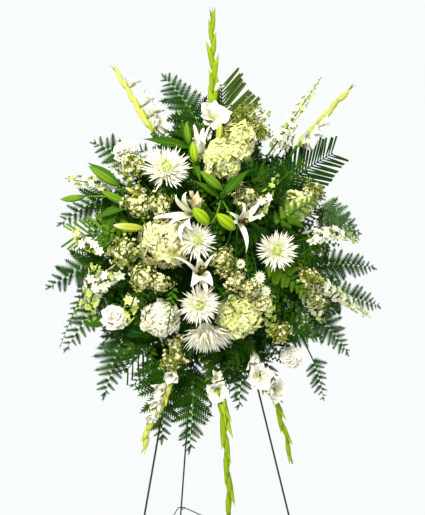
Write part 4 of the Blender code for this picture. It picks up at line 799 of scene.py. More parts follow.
def shake(chance, reach):
    """A small push in a random direction."""
    return Vector([chance.uniform(-reach, reach) for _ in range(3)])


print("a test spiral has", len(spiral(UP, 9, 0, 1, 0)), "directions")

# %% [markdown]
# ## Spider chrysanthemums
# Each head is a burst of narrow quills round a greenish heart. The inner quills are short and bend
# inwards, the outer ones are long and open like thin spoons. Two small balls close the middle. Each
# row gives the middle of a head, the way it faces, its radius, and the tilt of its last quills.

# %% Chrysanthemums
QUILL = prototype("quill", blade([0.018, 0.022, 0.026, 0.029, 0], cup=0.35, curl=0.45, thick=0.009))
HOOKED_QUILL = prototype("hooked_quill", blade([0.017, 0.021, 0.025, 0.028, 0], cup=0.35, curl=0.95,
                                               thick=0.009))
HEART_QUILL = prototype("heart_quill", blade([0.07, 0.10, 0.12, 0.10, 0], cup=0.5, curl=0.9, thick=0.016))
HEART_QUILLS, OUTER_QUILLS = 90, 400
MUMS = {
    "mum_upper_left": ((-158, 0, 270), (-0.1, 0.5, 1), 54, 1.62),
    "mum_middle": ((-96, -160, 300), (0.1, 0.15, 1), 43, 1.6),
    "mum_right": ((104, -182, 270), (-0.15, 0.05, 1), 47, 1.6),
    "mum_low_middle": ((-86, -302, 290), (-0.05, -0.15, 1), 45, 1.7),
    "mum_low": ((-54, -368, 230), (0, -0.85, 0.5), 60, 1.5),
}


def ball(centre, radius, sides=12, rings=7):
    """A round core."""
    turns = [math.pi * k / rings for k in range(rings + 1)]
    radii = [0] + [radius * math.sin(turn) for turn in turns[1:-1]] + [0]
    return tube([centre - UP * math.cos(turn) * radius for turn in turns], radii, sides)


def mum(name, centre, facing, radius, last_tilt, seed):
    """One chrysanthemum on its stem."""
    centre, facing, radius = mark(centre), heading(*facing), radius / 1000
    hearts = [(centre + way * radius * 0.14, way, facing - way * 0.2, radius * (0.30 + 0.14 * share))
              for way, _, share in spiral(facing, HEART_QUILLS, 0.03, 0.72, seed)]
    quills = [(centre + way * radius * 0.06, way + facing * (0.10 - 0.12 * share), facing + way * 0.3,
               radius * (0.40 + 0.62 * share ** 0.6))
              for way, _, share in spiral(facing, OUTER_QUILLS, 0.36, last_tilt, seed + 1.0)]
    hooked = quills[::3]
    del quills[::3]
    foot = centre - facing * radius * 0.20
    cup = tube([foot, centre - facing * radius * 0.02, centre + facing * radius * 0.12],
               [0.003, radius * 0.20, radius * 0.14], 10)
    parts = [stalk(name, foot, facing, 0.0024), (cup, "green stem", 0.5),
             (ball(centre + facing * radius * 0.04, radius * 0.36), "mum petal", 0.6),
             (ball(centre + facing * radius * 0.17, radius * 0.29), "mum heart petal", 0.6)]
    grow(name, "_bloom", parts, [(HEART_QUILL, hearts, "mum heart petal", 0.15, 0.22),
                                 (QUILL, quills, "mum petal", 0.22, 0.18),
                                 (HOOKED_QUILL, hooked, "mum petal", 0.22, 0.26)], seed)


grow_each(MUMS, mum, 1)

# %% [markdown]
# ## Hydrangeas
# A hydrangea head is a dome of small four-petalled florets, each on a thin stalk, packed so closely
# that their edges crumple against each other. The florets sit on a lumpy ball, turned a little each
# way, round a smaller core of green stalks. Each row gives the middle of a head, the way it faces, its
# radius, the size of its florets and their finish.

# %% Hydrangeas
LENS = (np.array([(0, 0, 0), (-1, 0.45, 0), (0, 0.45, 1), (1, 0.45, 0), (0, 1, 0)], float),
        [(0, 2, 1), (0, 3, 2), (1, 2, 4), (2, 3, 4), (0, 1, 4), (0, 4, 3)],
        [0, 0.45, 0.5, 0.45, 1], [0, -1, 0, 1, 0])


def open_flower(petal, count, tilt, foot=0.02, size=1.0):
    """Equal petals round +Z, with a radius of about one."""
    shapes = []
    for index in range(count):
        angle = 2 * math.pi * index / count
        out = Vector((math.cos(angle), math.sin(angle), 0))
        way = out * math.cos(tilt) + UP * math.sin(tilt)
        shapes.append(set_at(petal, out * foot, way, UP - out * 0.2, size))
    return merge(shapes)


FLORET = prototype("hydrangea_floret", open_flower(LENS, 4, 0.10, size=(0.62, 1.05, 0.16)))
HYDRANGEAS = {
    "hydrangea_top": ((24, 78, 222), (0.2, 0.3, 1), 42, 12, "fresh hydrangea petal"),
    "hydrangea_upper": ((-18, 32, 250), (-0.1, 0, 1), 44, 9, "fresh hydrangea petal"),
    "hydrangea_left": ((-150, -162, 242), (-0.2, 0, 1), 59, 12.5, "hydrangea petal"),
    "hydrangea_low_left": ((-162, -338, 228), (-0.25, -0.2, 1), 42, 8.5, "lace petal"),
    "hydrangea_low": ((21, -333, 245), (0.1, -0.1, 1), 50, 10.5, "fresh hydrangea petal"),
    "hydrangea_right": ((183, -70, 190), (0.2, 0.1, 1), 36, 11, "fresh hydrangea petal"),
}


def hydrangea(name, centre, facing, radius, floret, finish, seed):
    """One hydrangea head on its stem. The florets are as large as asked."""
    centre, facing, radius, floret = mark(centre), heading(*facing), radius / 1000, floret / 1000
    chance = random.Random(seed)
    florets = []
    for way, _, _ in spiral(facing, int(1.25 * (radius / floret) ** 2 * 8), 0.0, 2.15, seed):
        lump = (1 + 0.08 * math.sin(6 * way.x + seed) + 0.08 * math.sin(7 * way.z - seed)
                + chance.uniform(-0.06, 0.06))
        place = centre + way * (radius - floret * 0.4) * lump
        turn = way + shake(chance, 0.85)
        florets.append((place, turn.cross(around(way, chance.uniform(0, 6.28))), turn, floret))
    parts = [stalk(name, centre - facing * radius * 0.4, facing, 0.0030),
             (ball(centre, radius * 0.86), "hydrangea stalks", 0.5)]
    grow(name, "_bloom", parts, [(FLORET, florets, finish, 0.30, 0.35)], seed)


grow_each(HYDRANGEAS, hydrangea, 11)

# %% [markdown]
# ## Carnations
# A carnation is a tight dome of fan-shaped petals with frilled edges over a green calyx. One frilled
# petal with a wavy, notched end is repeated on the dome.

# %% Carnations
FRILL = prototype("frill", blade([0.05, 0.14, 0.26, 0.36, 0.38], cup=-0.15, curl=0.4, thick=0.02, across=7,
                                 ruffle=0.16, waves=1.3, notch=0.12))
CARNATION_PETALS = 120
CARNATIONS = {
    "carnation_left": ((-264, -332, 205), (0.1, 0.55, 0.75), 25),
    "carnation_low": ((172, -442, 192), (-0.3, 0.5, 0.9), 21),
    "carnation_upper": ((-235, 55, 175), (-0.3, 0.6, 0.8), 24),
}


def carnation(name, centre, facing, radius, seed):
    """One carnation on its stem."""
    centre, facing, radius = mark(centre), heading(*facing), radius / 1000
    foot = centre - facing * radius * 1.15
    petals = []
    for way, out, share in spiral(facing, CARNATION_PETALS, 0.05, 1.60, seed):
        size = radius * (0.62 + 0.48 * share)
        petals.append((centre - facing * radius * 0.35 + way * radius * 0.12, way, facing + out * 0.3,
                       (size * 1.1, size, size)))
    calyx = tube([foot, foot + facing * radius * 0.3, centre - facing * radius * 0.30],
                 [radius * 0.16, radius * 0.26, radius * 0.30], 8)
    parts = [stalk(name, foot + facing * 0.002, facing, 0.0022), (calyx, "green stem", 0.8)]
    grow(name, "_bloom", parts, [(FRILL, petals, "carnation petal", 0.12, 0.35)], seed)


grow_each(CARNATIONS, carnation, 21)

# %% [markdown]
# ## Gladioli
# A gladiolus is a long spike. Green sheaths sit on it in two rows, each wrapped round a bud, largest
# at the foot. A few flowers at the foot are open: six ruffled petals in a funnel. Each row gives the
# places of the spike, the step between sheaths and their length, the finish, how fat the buds are,
# how slim the sheaths and how far they spread. Then come the open flowers: how far up the spike each
# one sits, the way it faces, its radius and how wide it opens.

# %% Gladioli
GLAD_PETAL = prototype("gladiolus_petal", blade([0.12, 0.28, 0.42, 0.50, 0.50, 0.40, 0.18, 0], cup=0.30,
                                                curl=-0.70, thick=0.012, across=5, ruffle=0.12, waves=2.2))
SHEATH = prototype("sheath", blade([0.070, 0.105, 0.115, 0.105, 0.080, 0.045, 0], cup=0.60, curl=-0.14,
                                   thick=0.014))
BUD_LINE = ((0.0, 0.03), (0.25, 0), (0.55, 0.01), (0.82, 0.03))
WIDE_OPEN = 0.25
GLADIOLI = {
    "gladiolus_top": ([(-30, 120, 185), (-12, 215, 135), (-1, 331, 85), (4, 425, 55)], 36, 100,
        "gladiolus sheath", 0.09, 0.82, 0.12, [(0.02, (-0.1, 0.35, 1), 35, 0.46), (0, (-0.45, -0.75, 0.9),
        24, 0.1), (0.3, (0.5, 0.9, 0.5), 16, 0.1)]),
    "gladiolus_upper_left": ([(-168, 100, 170), (-190, 150, 130), (-213, 206, 90), (-247, 279, 50)], 25,
        64, "yellow gladiolus sheath", 0.145, 1.05, 0.07, [(0.02, (0.6, 0.5, 0.8), 30, 0.35), (0.22,
        (0.7, 0.9, 0.4), 24, 0.16), (0.42, (0.7, 0.9, 0.3), 22, 0.16), (0.72, (0.7, 0.9, 0.2), 18,
        0.16)]),
    "gladiolus_upper_right": ([(190, 78, 180), (245, 122, 130), (310, 183, 90), (398, 270, 60)], 33, 78,
        "yellow gladiolus sheath", 0.135, 1, 0.1, [(0.04, (0.7, 0.2, 0.8), 28, 0.28), (0.22,
        (0.8, 0.5, 0.5), 24, 0.18), (0.45, (0.8, 0.5, 0.4), 20, 0.15)]),
    "gladiolus_low_left": ([(-125, -466, 185), (-146, -522, 192), (-175, -580, 185), (-190, -648, 165)],
        25, 70, "yellow gladiolus sheath", 0.16, 1.1, 0.09, [(0, (-0.4, -0.4, 1), 24, 0.28), (0.14,
        (-0.9, -0.5, 0.6), 24, 0.18), (0.3, (-0.9, -0.6, 0.6), 24, 0.18), (0.48, (-0.8, -0.8, 0.5), 22,
        0.16)]),
    "gladiolus_low": ([(-20, -482, 180), (-8, -545, 195), (4, -679, 200), (15, -840, 188)], 40, 105,
        "gladiolus sheath", 0.1, 0.92, 0.07, [(0.17, (-0.35, -0.25, 1), 28, 0.46), (0.07, (-0.2, 0.5, 1),
        20, 0.22)]),
    "gladiolus_low_right": ([(68, -410, 185), (88, -475, 200), (118, -528, 200), (146, -598, 190),
        (186, -714, 162)], 38, 90, "gladiolus sheath", 0.095, 0.9, 0.1, [(0.26, (-0.5, -0.15, 1), 32,
        0.46), (0.4, (0.45, -0.3, 0.9), 34, 0.46), (0.02, (0.1, -0.9, 0.6), 26, 0.16), (0.14,
        (0.4, -0.8, 0.6), 26, 0.2)]),
}


def funnel_places(foot, face, radius, opening, seed):
    """Places of six petals round a face: three outer ones and three inner ones."""
    found = []
    long, wide = (1.45, 1.25) if opening > WIDE_OPEN else (2.0, 0.80)
    for index in range(6):
        out = around(face, math.pi * index / 3 + seed)
        inset, breadth = (0.06, 1.0) if index % 2 else (0.02, 0.8)
        found.append((foot + out * radius * inset, face * (1.25 - opening) + out * opening,
                      face - out * 0.6, (radius * wide * breadth, radius * long, radius * 1.3)))
    return found


def gladiolus(name, marks, step, sheath, finish, fat, slim, spread, flowers, seed):
    """One gladiolus from the foam to its tip. A sheath and its bud sit at every step."""
    step, sheath = step / 1000, sheath / 1000
    spike = smooth_path(marks)
    length = path_length(spike)
    parts = [stem(stalk_path(name, spike[0], (spike[1] - spike[0]).normalized()), 0.0038, 8),
             (tube(spike, taper(0.0042, 0.00252, len(spike)), 8), finish, 0.2)]
    viewer = heading(-0.25, 0, 1)
    sheaths, petals = [], []
    for index in range(int((length - sheath * 0.2) / step)):
        share = (index + 0.6) * step / length
        foot, way = on_path(spike, share)
        side = way.cross(viewer).normalized() * (1 if index % 2 else -1)
        size = sheath * (1 - 0.24 * share)
        lean = (way + side * spread + viewer * 0.06).normalized()
        sheaths.append((foot - way * 0.002, lean, -viewer - side * 0.6, (size * slim, size, size * slim)))
        bud = [foot + lean * size * up - side * size * inward for up, inward in BUD_LINE]
        parts.append((tube(bud, [0.002, size * fat * 0.8, size * fat * 0.75, 0], 8), finish, 0.2))
    tip, way = on_path(spike, 0.90)
    side = way.cross(viewer).normalized()
    for sign in (-1, 1):
        sheaths.append((tip, way + side * sign * 0.06, viewer * 0.5 - side * sign,
                        (sheath * 0.6, sheath * 0.6, 0.03)))
    for index, (share, face, radius, opening) in enumerate(flowers):
        foot, way = on_path(spike, share)
        face, radius = heading(*face), radius / 1000
        petals += funnel_places(foot + face * radius * 0.25, face, radius, opening, seed + index)
        cup = tube([foot, foot + face * radius * 0.5], [0.0030, radius * 0.16])
        parts.append((cup, "green lily bud", 0.6))
        for turn in range(3):
            out = around(face, 2.1 * turn)
            thread = [foot, foot + face * radius * 0.9 + out * radius * 0.10,
                      foot + face * radius * 1.15 + out * radius * 0.12]
            parts.append((tube(thread, [0.0006, 0.0006, 0.0012], 4), "yellow lily bud", 0.5))
        sheaths.append((foot - way * 0.004, way * 0.9 + face * 0.3, face, sheath * 0.7))
    grow(name, "_spike", parts, [(SHEATH, sheaths, finish, 0.10, 0.05),
                                 (GLAD_PETAL, petals, "gladiolus petal", 0.10, 0.16)], seed)


grow_each(GLADIOLI, gladiolus, 31)

# %% [markdown]
# ## Lilies
# An open lily has six long petals that spring from a throat and roll back, and six thin filaments
# with rusty brown anthers. Each petal is aimed one by one, because every flower shows a different side.
# Each row gives the throat, the way the flower faces, whether its heart shows, and the tip and half
# width of each petal. One flower near the middle has withered to a tan, crumpled funnel.

# %% Lilies
PETAL_OUTLINE = (0.50, 0.82, 1.0, 0.92, 0.74, 0.56, 0.38, 0.20, 0.0)
LILIES = {
    "lily_middle": ((-85, -227, 305), (-0.1, 0.25, 1), True, [(-154, -196, 320, 4.5), (-60, -190, 322, 5),
        (-69, -290, 300, 8.5), (-112, -262, 322, 15.5), (-62, -262, 322, 15), (-96, -196, 322, 13.5)]),
    "lily_right": ((21, -114, 280), (0.05, -0.05, 1), True, [(17, -72, 290, 7.5), (64, -60, 275, 8.5),
        (63, -99, 290, 6.5), (32, -189, 262, 7.5), (-21, -117, 300, 7), (-23, -92, 292, 6.5)]),
    "lily_left": ((-116, -98, 290), (-0.7, 0.05, 0.75), False, [(-190, -112, 290, 7.5),
        (-119, -52, 318, 10.5), (-128, -164, 318, 10.5), (-106, -138, 325, 12.5), (-142, -58, 315, 9.5),
        (-158, -130, 320, 10)]),
    "side_lily": ((-72, 58, 238), (-0.12, 0.9, 0.4), False, [(-90, 100, 262, 9.5), (-43, 107, 248, 6),
        (-66, 60, 272, 10), (-94, 72, 262, 8), (-56, 104, 220, 8), (-84, 110, 225, 8)]),
}


def lily_heart(foot, throat, facing):
    """The filaments with their anthers, the pistil, and a painted shadow cone in the throat, as parts."""
    parts = []
    for index in range(6):
        out = around(facing, math.pi * (index + 0.4) / 3)
        end = throat + facing * 0.018 + out * 0.0060
        thread = bezier(foot, throat, end - out * 0.004, end, 4)
        parts.append((tube(thread, 0.0008, 4), "green lily bud", 0.4))
        across = (out.cross(facing) + out * 0.5).normalized()
        anther = tube([end + across * reach for reach in (-0.006, -0.003, 0.003, 0.006)],
                      [0, 0.0018, 0.0018, 0])
        parts.append((anther, "lily anther", 0.2 * index))
    end = throat + facing * 0.026
    parts.append((tube([foot, end, end + facing * 0.003], [0.0012, 0.0014, 0.0030]), "green lily bud", 0.4))
    # A dark cone in the throat, in the colour of the anthers: a painted shadow where the throat is deep.
    shadow = [throat + facing * k for k in (-0.004, 0.002, 0.007, 0.010)]
    return parts + [(tube(shadow, [0.003, 0.0044, 0.0034, 0], 8), "lily anther", 0.1)]


def lily(name, throat, facing, shows_heart, tips, seed):
    """One open lily on its stem. Each petal rises out of the throat and rolls over to its tip."""
    throat, facing = mark(throat), heading(*facing)
    foot = throat - facing * 0.034
    parts = [stalk(name, foot, facing, 0.0024)]
    for index, (*tip, wide) in enumerate(tips):
        tip = mark(tip)
        out = (tip - throat) - facing * (tip - throat).dot(facing)
        begin = foot + out.normalized() * 0.003
        path = bezier(begin, begin + facing * 0.040 + out * 0.22,
                      tip + facing * out.length * 0.45 - out * 0.30, tip, 8)
        widths = [wide / 1000 * share for share in PETAL_OUTLINE]
        petal = ribbon(path, widths, facing * 1.5 - out.normalized(), cup=0.30, thick=0.0006, across=5,
                       ruffle=0.0007, waves=2.3)
        parts.append((petal, "lily petal", (index * 0.37) % 1))
    if shows_heart:
        parts += lily_heart(foot, throat, facing)
    grow(name, "_bloom", parts, [], seed)


grow_each(LILIES, lily, 41)
WITHERED_FOOT = spot(-0.092, -0.096, 0.280)
WITHERED_STEM = stem([spot(-0.03, -0.15, 0.07), spot(-0.08, -0.11, 0.20), WITHERED_FOOT], 0.0018, tint=0.4)
WITHERED_PETALS = funnel_places(WITHERED_FOOT, heading(-0.05, 0.9, 0.6), 0.027, 0.22, 0.4)
grow("withered", "_bloom", [WITHERED_STEM], [(GLAD_PETAL, WITHERED_PETALS, "withered petal", 0.15, 0.25)],
     49)

# %% [markdown]
# ## Lily buds
# The closed lily buds are smooth, with three shallow furrows, so a tube with three lobes is enough.
# They stand on forked green stems among narrow leaves. Each row gives the top of a stem, its buds,
# with foot, tip, finish and fatness, and its leaves, with foot and tip.

# %% Lily buds
LILY_LEAF = prototype("lily_leaf", blade([0.03, 0.08, 0.115, 0.12, 0.105, 0.07, 0.03, 0], cup=0.35,
                                         curl=-0.35, thick=0.008, across=5))
BUD_OUTLINE = ((0.0, 0.05), (0.08, 0.085), (0.22, 0.125), (0.40, 0.145), (0.58, 0.140), (0.76, 0.105),
               (0.90, 0.055), (1.0, 0.0))
LILY_STEMS = {
    "lily_stem_left": ((-246, -58, 205), [((-257, -33, 215), (-324, 12, 205), "green lily bud", 0.8),
        ((-239, -72, 222), (-298, -46, 222), "green lily bud", 1), ((-330, -56, 170), (-384, -62, 150),
        "green lily bud", 0.95), ((-208, -131, 262), (-276, -125, 262), "yellow lily bud", 0.95),
        ((-200, -60, 240), (-246, -38, 238), "yellow lily bud", 0.8)], [((-225, -75, 215),
        (-318, -100, 200)), ((-255, -30, 210), (-322, 28, 195)), ((-258, -70, 205), (-300, -160, 190))]),
    "lily_stem_top": ((-98, 40, 238), [((-98, 62, 250), (-106, 116, 250), "green lily bud", 0.95),
        ((-29, 69, 248), (-21, 122, 240), "yellow lily bud", 1), ((-87, 20, 265), (-96, 68, 272),
        "lime lily bud", 1.3)], [((-98, 60, 238), (-112, 126, 222)), ((-98, 56, 240), (-196, 82, 262)),
        ((-88, 30, 245), (-82, -20, 280))]),
    "lily_stem_middle": ((-35, -60, 305), [((-40, -45, 318), (-92, -6, 326), "green lily bud", 1.1),
        ((-71, -122, 318), (-112, -88, 342), "lime lily bud", 1.6), ((-8, -132, 306), (-56, -100, 332),
        "lime lily bud", 1.5)], [((-35, -60, 305), (30, 5, 295)), ((-40, -62, 300), (-92, -20, 300))]),
}


def lily_bud(foot, tip, fat):
    """A closed bud with three furrows."""
    reach = tip - foot
    path = [foot + reach * t - UP * 0.03 * reach.length * math.sin(math.pi * t) for t, _ in BUD_OUTLINE]
    return tube(path, [radius * fat * reach.length for _, radius in BUD_OUTLINE], 12, 3, 0.12)


def lily_stem(name, top, buds, leaves, seed):
    """A green stem with closed buds and narrow leaves."""
    top = mark(top)
    path = stalk_path(name, top, heading(0, 0.2, 1))
    fork = path[-2]
    parts = [stem(path, 0.0032, 8, 0.9)]
    for foot, tip, finish, fat in buds:
        foot, tip = mark(foot), mark(tip)
        way, reach = (tip - foot).normalized(), (foot - fork).length
        curve = bezier(fork, fork + (top - fork).normalized() * reach * 0.3, foot - way * reach * 0.3,
                       foot + way * 0.003)
        parts += [(tube(curve, 0.0017), "green lily bud", 0.2), (lily_bud(foot, tip, fat), finish, 0.4)]
    blades = [leaf_to(mark(foot), mark(tip), heading(-0.2, 0.6, 1), 1.05) for foot, tip in leaves]
    grow(name, "_buds", parts, [(LILY_LEAF, blades, "lily leaf", 0.05, 0.05)], seed)


grow_each(LILY_STEMS, lily_stem, 51)

# %% [markdown]
# ## Larkspur
# Spikes of small white bells that open from the foot upwards, with green closed ones at the tip. A
# bell is placed every few millimetres round the spike, and some are left out, as on a real one.

# %% Larkspur
BELL_STEP = 0.0060
MISSING_BELLS = 0.2
GREEN_TIP = 0.85


def knob(radius, sides=6):
    """A small rounded bead on +Z."""
    return bead([z * radius for z in (-0.3, 0.2, 0.7, 1.0)], [radius * 0.6, radius, radius * 0.7, 0], sides)


BELL_PETAL = blade([0.12, 0.27, 0.31, 0.20, 0], cup=0.35, curl=-0.3, thick=0.04)
BELL = prototype("bell", merge([open_flower(BELL_PETAL, 6, 0.42, 0.03), knob(0.16)]))
BUDLET = prototype("budlet", bead((0, 0.35, 0.75, 1.0), [0.12, 0.30, 0.24, 0], 6))
LARKSPURS = {
    "larkspur_upper_right": [[(118, 70, 215), (190, 150, 150), (302, 283, 70)]],
    "larkspur_left": [[(-262, -20, 180), (-320, -22, 170), (-372, -12, 140)], [(-290, -175, 190),
        (-330, -165, 180), (-362, -120, 165)]],
    "larkspur_low_left": [[(-255, -225, 215), (-300, -270, 190), (-356, -335, 140)]],
    "larkspur_middle": [[(62, -92, 255), (90, -45, 250), (124, 6, 235)]],
    "larkspur_right": [[(200, -150, 235), (285, -136, 215), (352, -160, 190)]],
    "larkspur_low_right": [[(245, -262, 195), (330, -306, 160), (425, -356, 110)]],
}
SIDE_LARKSPUR = [[(160, 80, 170), (182, 118, 160), (196, 150, 150)], [(72, 128, 165), (104, 152, 155),
    (134, 168, 145)], [(205, -290, 205), (240, -325, 185), (268, -365, 160)], [(-300, -215, 185),
    (-315, -255, 175), (-325, -300, 160)]]
GREEN_LARKSPUR = [[(60, -262, 268), (96, -325, 252), (108, -398, 212)], [(-225, -290, 235),
    (-235, -325, 225), (-238, -355, 210)], [(-308, -277, 185), (-318, -315, 175), (-301, -352, 165)]]


def larkspur(name, spikes, seed, open_share=0.62):
    """Some spikes on a stem. Their bells are open up to this share of each spike."""
    chance = random.Random(seed)
    paths = [smooth_path(marks) for marks in spikes]
    parts = forked_stem(name, paths, 0.0023, 6, 0.6, fork=1, forward=1.5, bow=0.2)
    bells, tips, greens = [], [], []
    for path in paths:
        parts.append(stem(path, taper(0.0020, 0.0012, len(path)), 6, 0.8))
        count = int(path_length(path) / BELL_STEP)
        for index in range(count):
            share = index / count
            foot, way = on_path(path, share * 0.97)
            out = (around(way, index * 2.4 + 0.2) + way * 0.35).normalized()
            size = 0.0150 - 0.0065 * share
            end = foot + out * size * 0.9
            parts.append((tube([foot, end], 0.0006, 3), "green bell", 0.4))
            if share < open_share and chance.random() > MISSING_BELLS:
                face = out + heading(0, 0, 1) * 0.5
                bells.append((end, around(out, chance.uniform(0, 6)), face, size))
            elif share < GREEN_TIP:
                greens.append((end, around(out, chance.uniform(0, 6)), out, size * 0.85))
            else:
                tips.append((end - out * 0.003, out + way * 0.5, around(out, 0), size))
    grow(name, "_spikes", parts, [(BELL, bells, "white petal", 0.15, 0.3),
                                  (BELL, greens, "green bell", 0.15, 0.3),
                                  (BUDLET, tips, "green bell", 0.2, 0.2)], seed)


grow_each(LARKSPURS, larkspur, 61)
larkspur("side_larkspur", SIDE_LARKSPUR, 68)
larkspur("green_larkspur", GREEN_LARKSPUR, 69, open_share=0.1)

# %% [markdown]
# ## Filler flowers
# Between the large heads are loose sprays of tiny cream flowers and olive buds. Each cluster is a
# dome of them on hair-thin forked stalks. Each row gives its middle, its radius, and the share of
# open flowers.

# %% Filler
TINY = prototype("tiny_flower", merge([open_flower(LENS, 5, 0.30, size=(0.34, 1.0, 0.12)), knob(0.22, 4)]))
BEAD = prototype("filler_bud", bead((0, 0.3, 0.75, 1.0), [0.15, 0.42, 0.36, 0], 5))
STALKS_PER_METRE = 2300
FLOWER_SIZE, BUD_SIZE = 0.0047, 0.0050
FILLERS = {
    "filler_upper_left": [((-222, 10, 210), 34, 0.45), ((-213, -78, 245), 32, 0.6), ((-168, -80, 272), 26,
        0.6)],
    "filler_left": [((-242, -182, 240), 34, 0.4), ((-205, -240, 255), 30, 0.55), ((-166, -256, 262), 20,
        0.75)],
    "filler_top": [((54, 140, 178), 38, 0.08), ((88, 106, 190), 26, 0.15)],
    "filler_middle": [((30, -56, 262), 27, 0.6), ((-30, -205, 280), 30, 0.4), ((-4, -250, 280), 23, 0.6),
        ((36, -270, 280), 21, 0.7), ((74, -306, 268), 17, 0.8)],
    "filler_right": [((225, -36, 195), 27, 0.25), ((192, -246, 232), 27, 0.3), ((226, -300, 205), 22,
        0.5)],
    "filler_low": [((128, -373, 222), 27, 0.2), ((-130, -430, 200), 28, 0.3), ((-126, -395, 215), 18,
        0.3)],
}


def cluster(middle, radius, fan, chance, open_share):
    """The stalks, flowers and buds of one dome."""
    knot = middle - fan * radius * 0.35
    parts, flowers, buds = [], [], []
    for way, _, _ in spiral(fan, int(STALKS_PER_METRE * radius), 0.0, 1.8, chance.uniform(0, 6)):
        lump = 1 + 0.35 * math.sin(3.5 * way.x + 5 * way.z + radius * 900)
        reach = radius * chance.uniform(0.40, 1.15) * lump
        place = middle + way * reach + shake(chance, 0.15) * radius
        thread = [knot, knot.lerp(place, 0.5) + way * reach * 0.1, place]
        parts.append((tube(thread, 0.0005, 3), "filler bud", chance.random()))
        for _ in range(4):
            spread = shake(chance, 1)
            turn = (way + spread * 0.5).normalized()
            near = place + spread * 0.0065
            if chance.random() < open_share:
                flowers.append((near, around(turn, chance.uniform(0, 6)), turn, FLOWER_SIZE))
            else:
                buds.append((near, turn, around(turn, 0), BUD_SIZE))
    return parts, flowers, buds


def filler(name, clusters, seed):
    """A forked spray of filler flowers."""
    chance = random.Random(seed)
    clusters = [(mark(middle), radius / 1000, open_share) for middle, radius, open_share in clusters]
    first, near, _ = clusters[0]
    offset = first - PIN
    fan = Vector((offset.x * 1.5, -0.45, (offset.z + 0.17) * 1.5)).normalized()
    path = stalk_path(name, first - fan * near * 0.5, fan)
    parts, flowers, buds = [stem(path, 0.0019)], [], []
    for number, (middle, radius, open_share) in enumerate(clusters):
        if number:
            parts.append(stem([path[-3], middle.lerp(path[-3], 0.4) + fan * 0.01, middle], 0.0014))
        found = cluster(middle, radius, fan, chance, open_share)
        for whole, some in zip((parts, flowers, buds), found):
            whole += some
    grow(name, "_spray", parts, [(TINY, flowers, "filler petal", 0.15, 0.3),
                                 (BEAD, buds, "filler bud", 0.2, 0.3)], seed)


grow_each(FILLERS, filler, 71)

# %% [markdown]
# ## Daisies
# Three small white daisies sit among the filler. A daisy is a flat ring of narrow petals round a
# raised eye, so one ring is modelled and set three times, a little turned and lower each time.

# %% Daisies
DAISY_PETAL = blade([0.03, 0.085, 0.095, 0.065, 0], cup=0.3, curl=0.1, thick=0.02)
DAISY = prototype("daisy", open_flower(DAISY_PETAL, 13, 0.15, 0.10))
DAISIES = {
    "daisies": [((20, -212, 262), (0, 0.1, 1), 12), ((58, -243, 288), (0.2, 0, 1), 15), ((74, -276, 284),
        (0.3, -0.2, 1), 14)],
}


def daisies(name, rows, seed):
    """Small daisies on one forked stem."""
    heads, parts = [], []
    for place, face, radius in rows:
        place, face, radius = mark(place), heading(*face), radius / 1000
        foot = place - face * 0.008
        if not parts:
            path = stalk_path(name, foot, face)
            parts.append(stem(path, 0.0017))
        else:
            parts.append(stem(bezier(path[1], path[1] + face * 0.02, foot - face * 0.02, foot), 0.0014))
        eye = tube([foot, place - face * 0.002, place + face * 0.002, place + face * 0.0035],
                   [0.0016, radius * 0.24, radius * 0.18, 0], 8)
        parts.append((eye, "daisy eye", 0.5))
        for layer in range(3):
            side = around(face, 2.1 * layer)
            heads.append((place - face * 0.001 * layer, side, face + side * 0.3,
                          radius * (0.75 + 0.15 * layer)))
    grow(name, "_bloom", parts, [(DAISY, heads, "white petal", 0.05, 0.06)], seed)


grow_each(DAISIES, daisies, 81)

# %% [markdown]
# ## Ferns
# A leatherleaf frond is a triangle. Side branches leave its rib in pairs, and each of them carries its
# own pairs of small pointed leaflets. So one side branch is modelled once and set along each rib, long
# at the foot and short at the tip. Each row gives where a frond begins, its tip and its half width.

# %% Ferns
DAGGER = (np.array([(-1, 0, 0), (1, 0, 0), (0, 0.3, 1), (0, 1, 0)], float),
          [(0, 3, 1), (0, 2, 3), (1, 3, 2), (0, 1, 2)], [0, 0, 0.3, 1], [-1, 1, 0, 0])
RIB_STEPS = 10


def side_branch(pairs, leaf_length, leaf_width, sweep):
    """A fern's side branch of length one with its leaflets."""
    shapes = []
    for index in range(pairs):
        t = 0.05 + 0.84 * index / pairs
        size = (leaf_width * (0.70 + 0.30 * (1 - t)), leaf_length * (1 - t) ** 0.75 + 0.05, 0.02)
        for sign in (-1, 1):
            way = Vector((sign * math.cos(sweep), math.sin(sweep), -0.12))
            shapes.append(set_at(DAGGER, (0, t + 0.02 * sign, 0), way, UP, size))
    shapes.append(set_at(DAGGER, (0, 0.74, 0), (0, 1, 0), UP, (leaf_width * 0.9, 0.26, 0.02)))
    shapes.append(tube([Vector((0, 0, 0)), Vector((0, 0.95, 0))], [0.016, 0.006], 3))
    return merge(shapes)


def frond_places(path, face, width, chance, spacing, narrowing, sweep):
    """Where the side branches of one frond go. They narrow to its tip, and sweep forward along it."""
    length = path_length(path)
    count = max(4, int(length / spacing))
    found = []
    for index in range(count):
        share = (index + 0.4) / count
        foot, way = on_path(path, share)
        side = way.cross(face).normalized()
        size = width * (1 - narrowing * share) * (0.75 + 0.25 * min(1, share * 6))
        size *= 1 if share < 0.8 else 1 - (share - 0.8) * 2.2
        for sign in (-1, 1):
            lean = side * sign + way * (sweep + 0.35 * share + chance.uniform(-0.12, 0.12))
            lean -= face * chance.uniform(0, 0.3)
            found.append((foot + way * (0.25 * length / count * sign), lean, face + side * sign * 0.15,
                          size * chance.uniform(0.78, 1.10)))
    tip, way = on_path(path, 0.94)
    return found + [(tip, way, face, width * 0.28)]


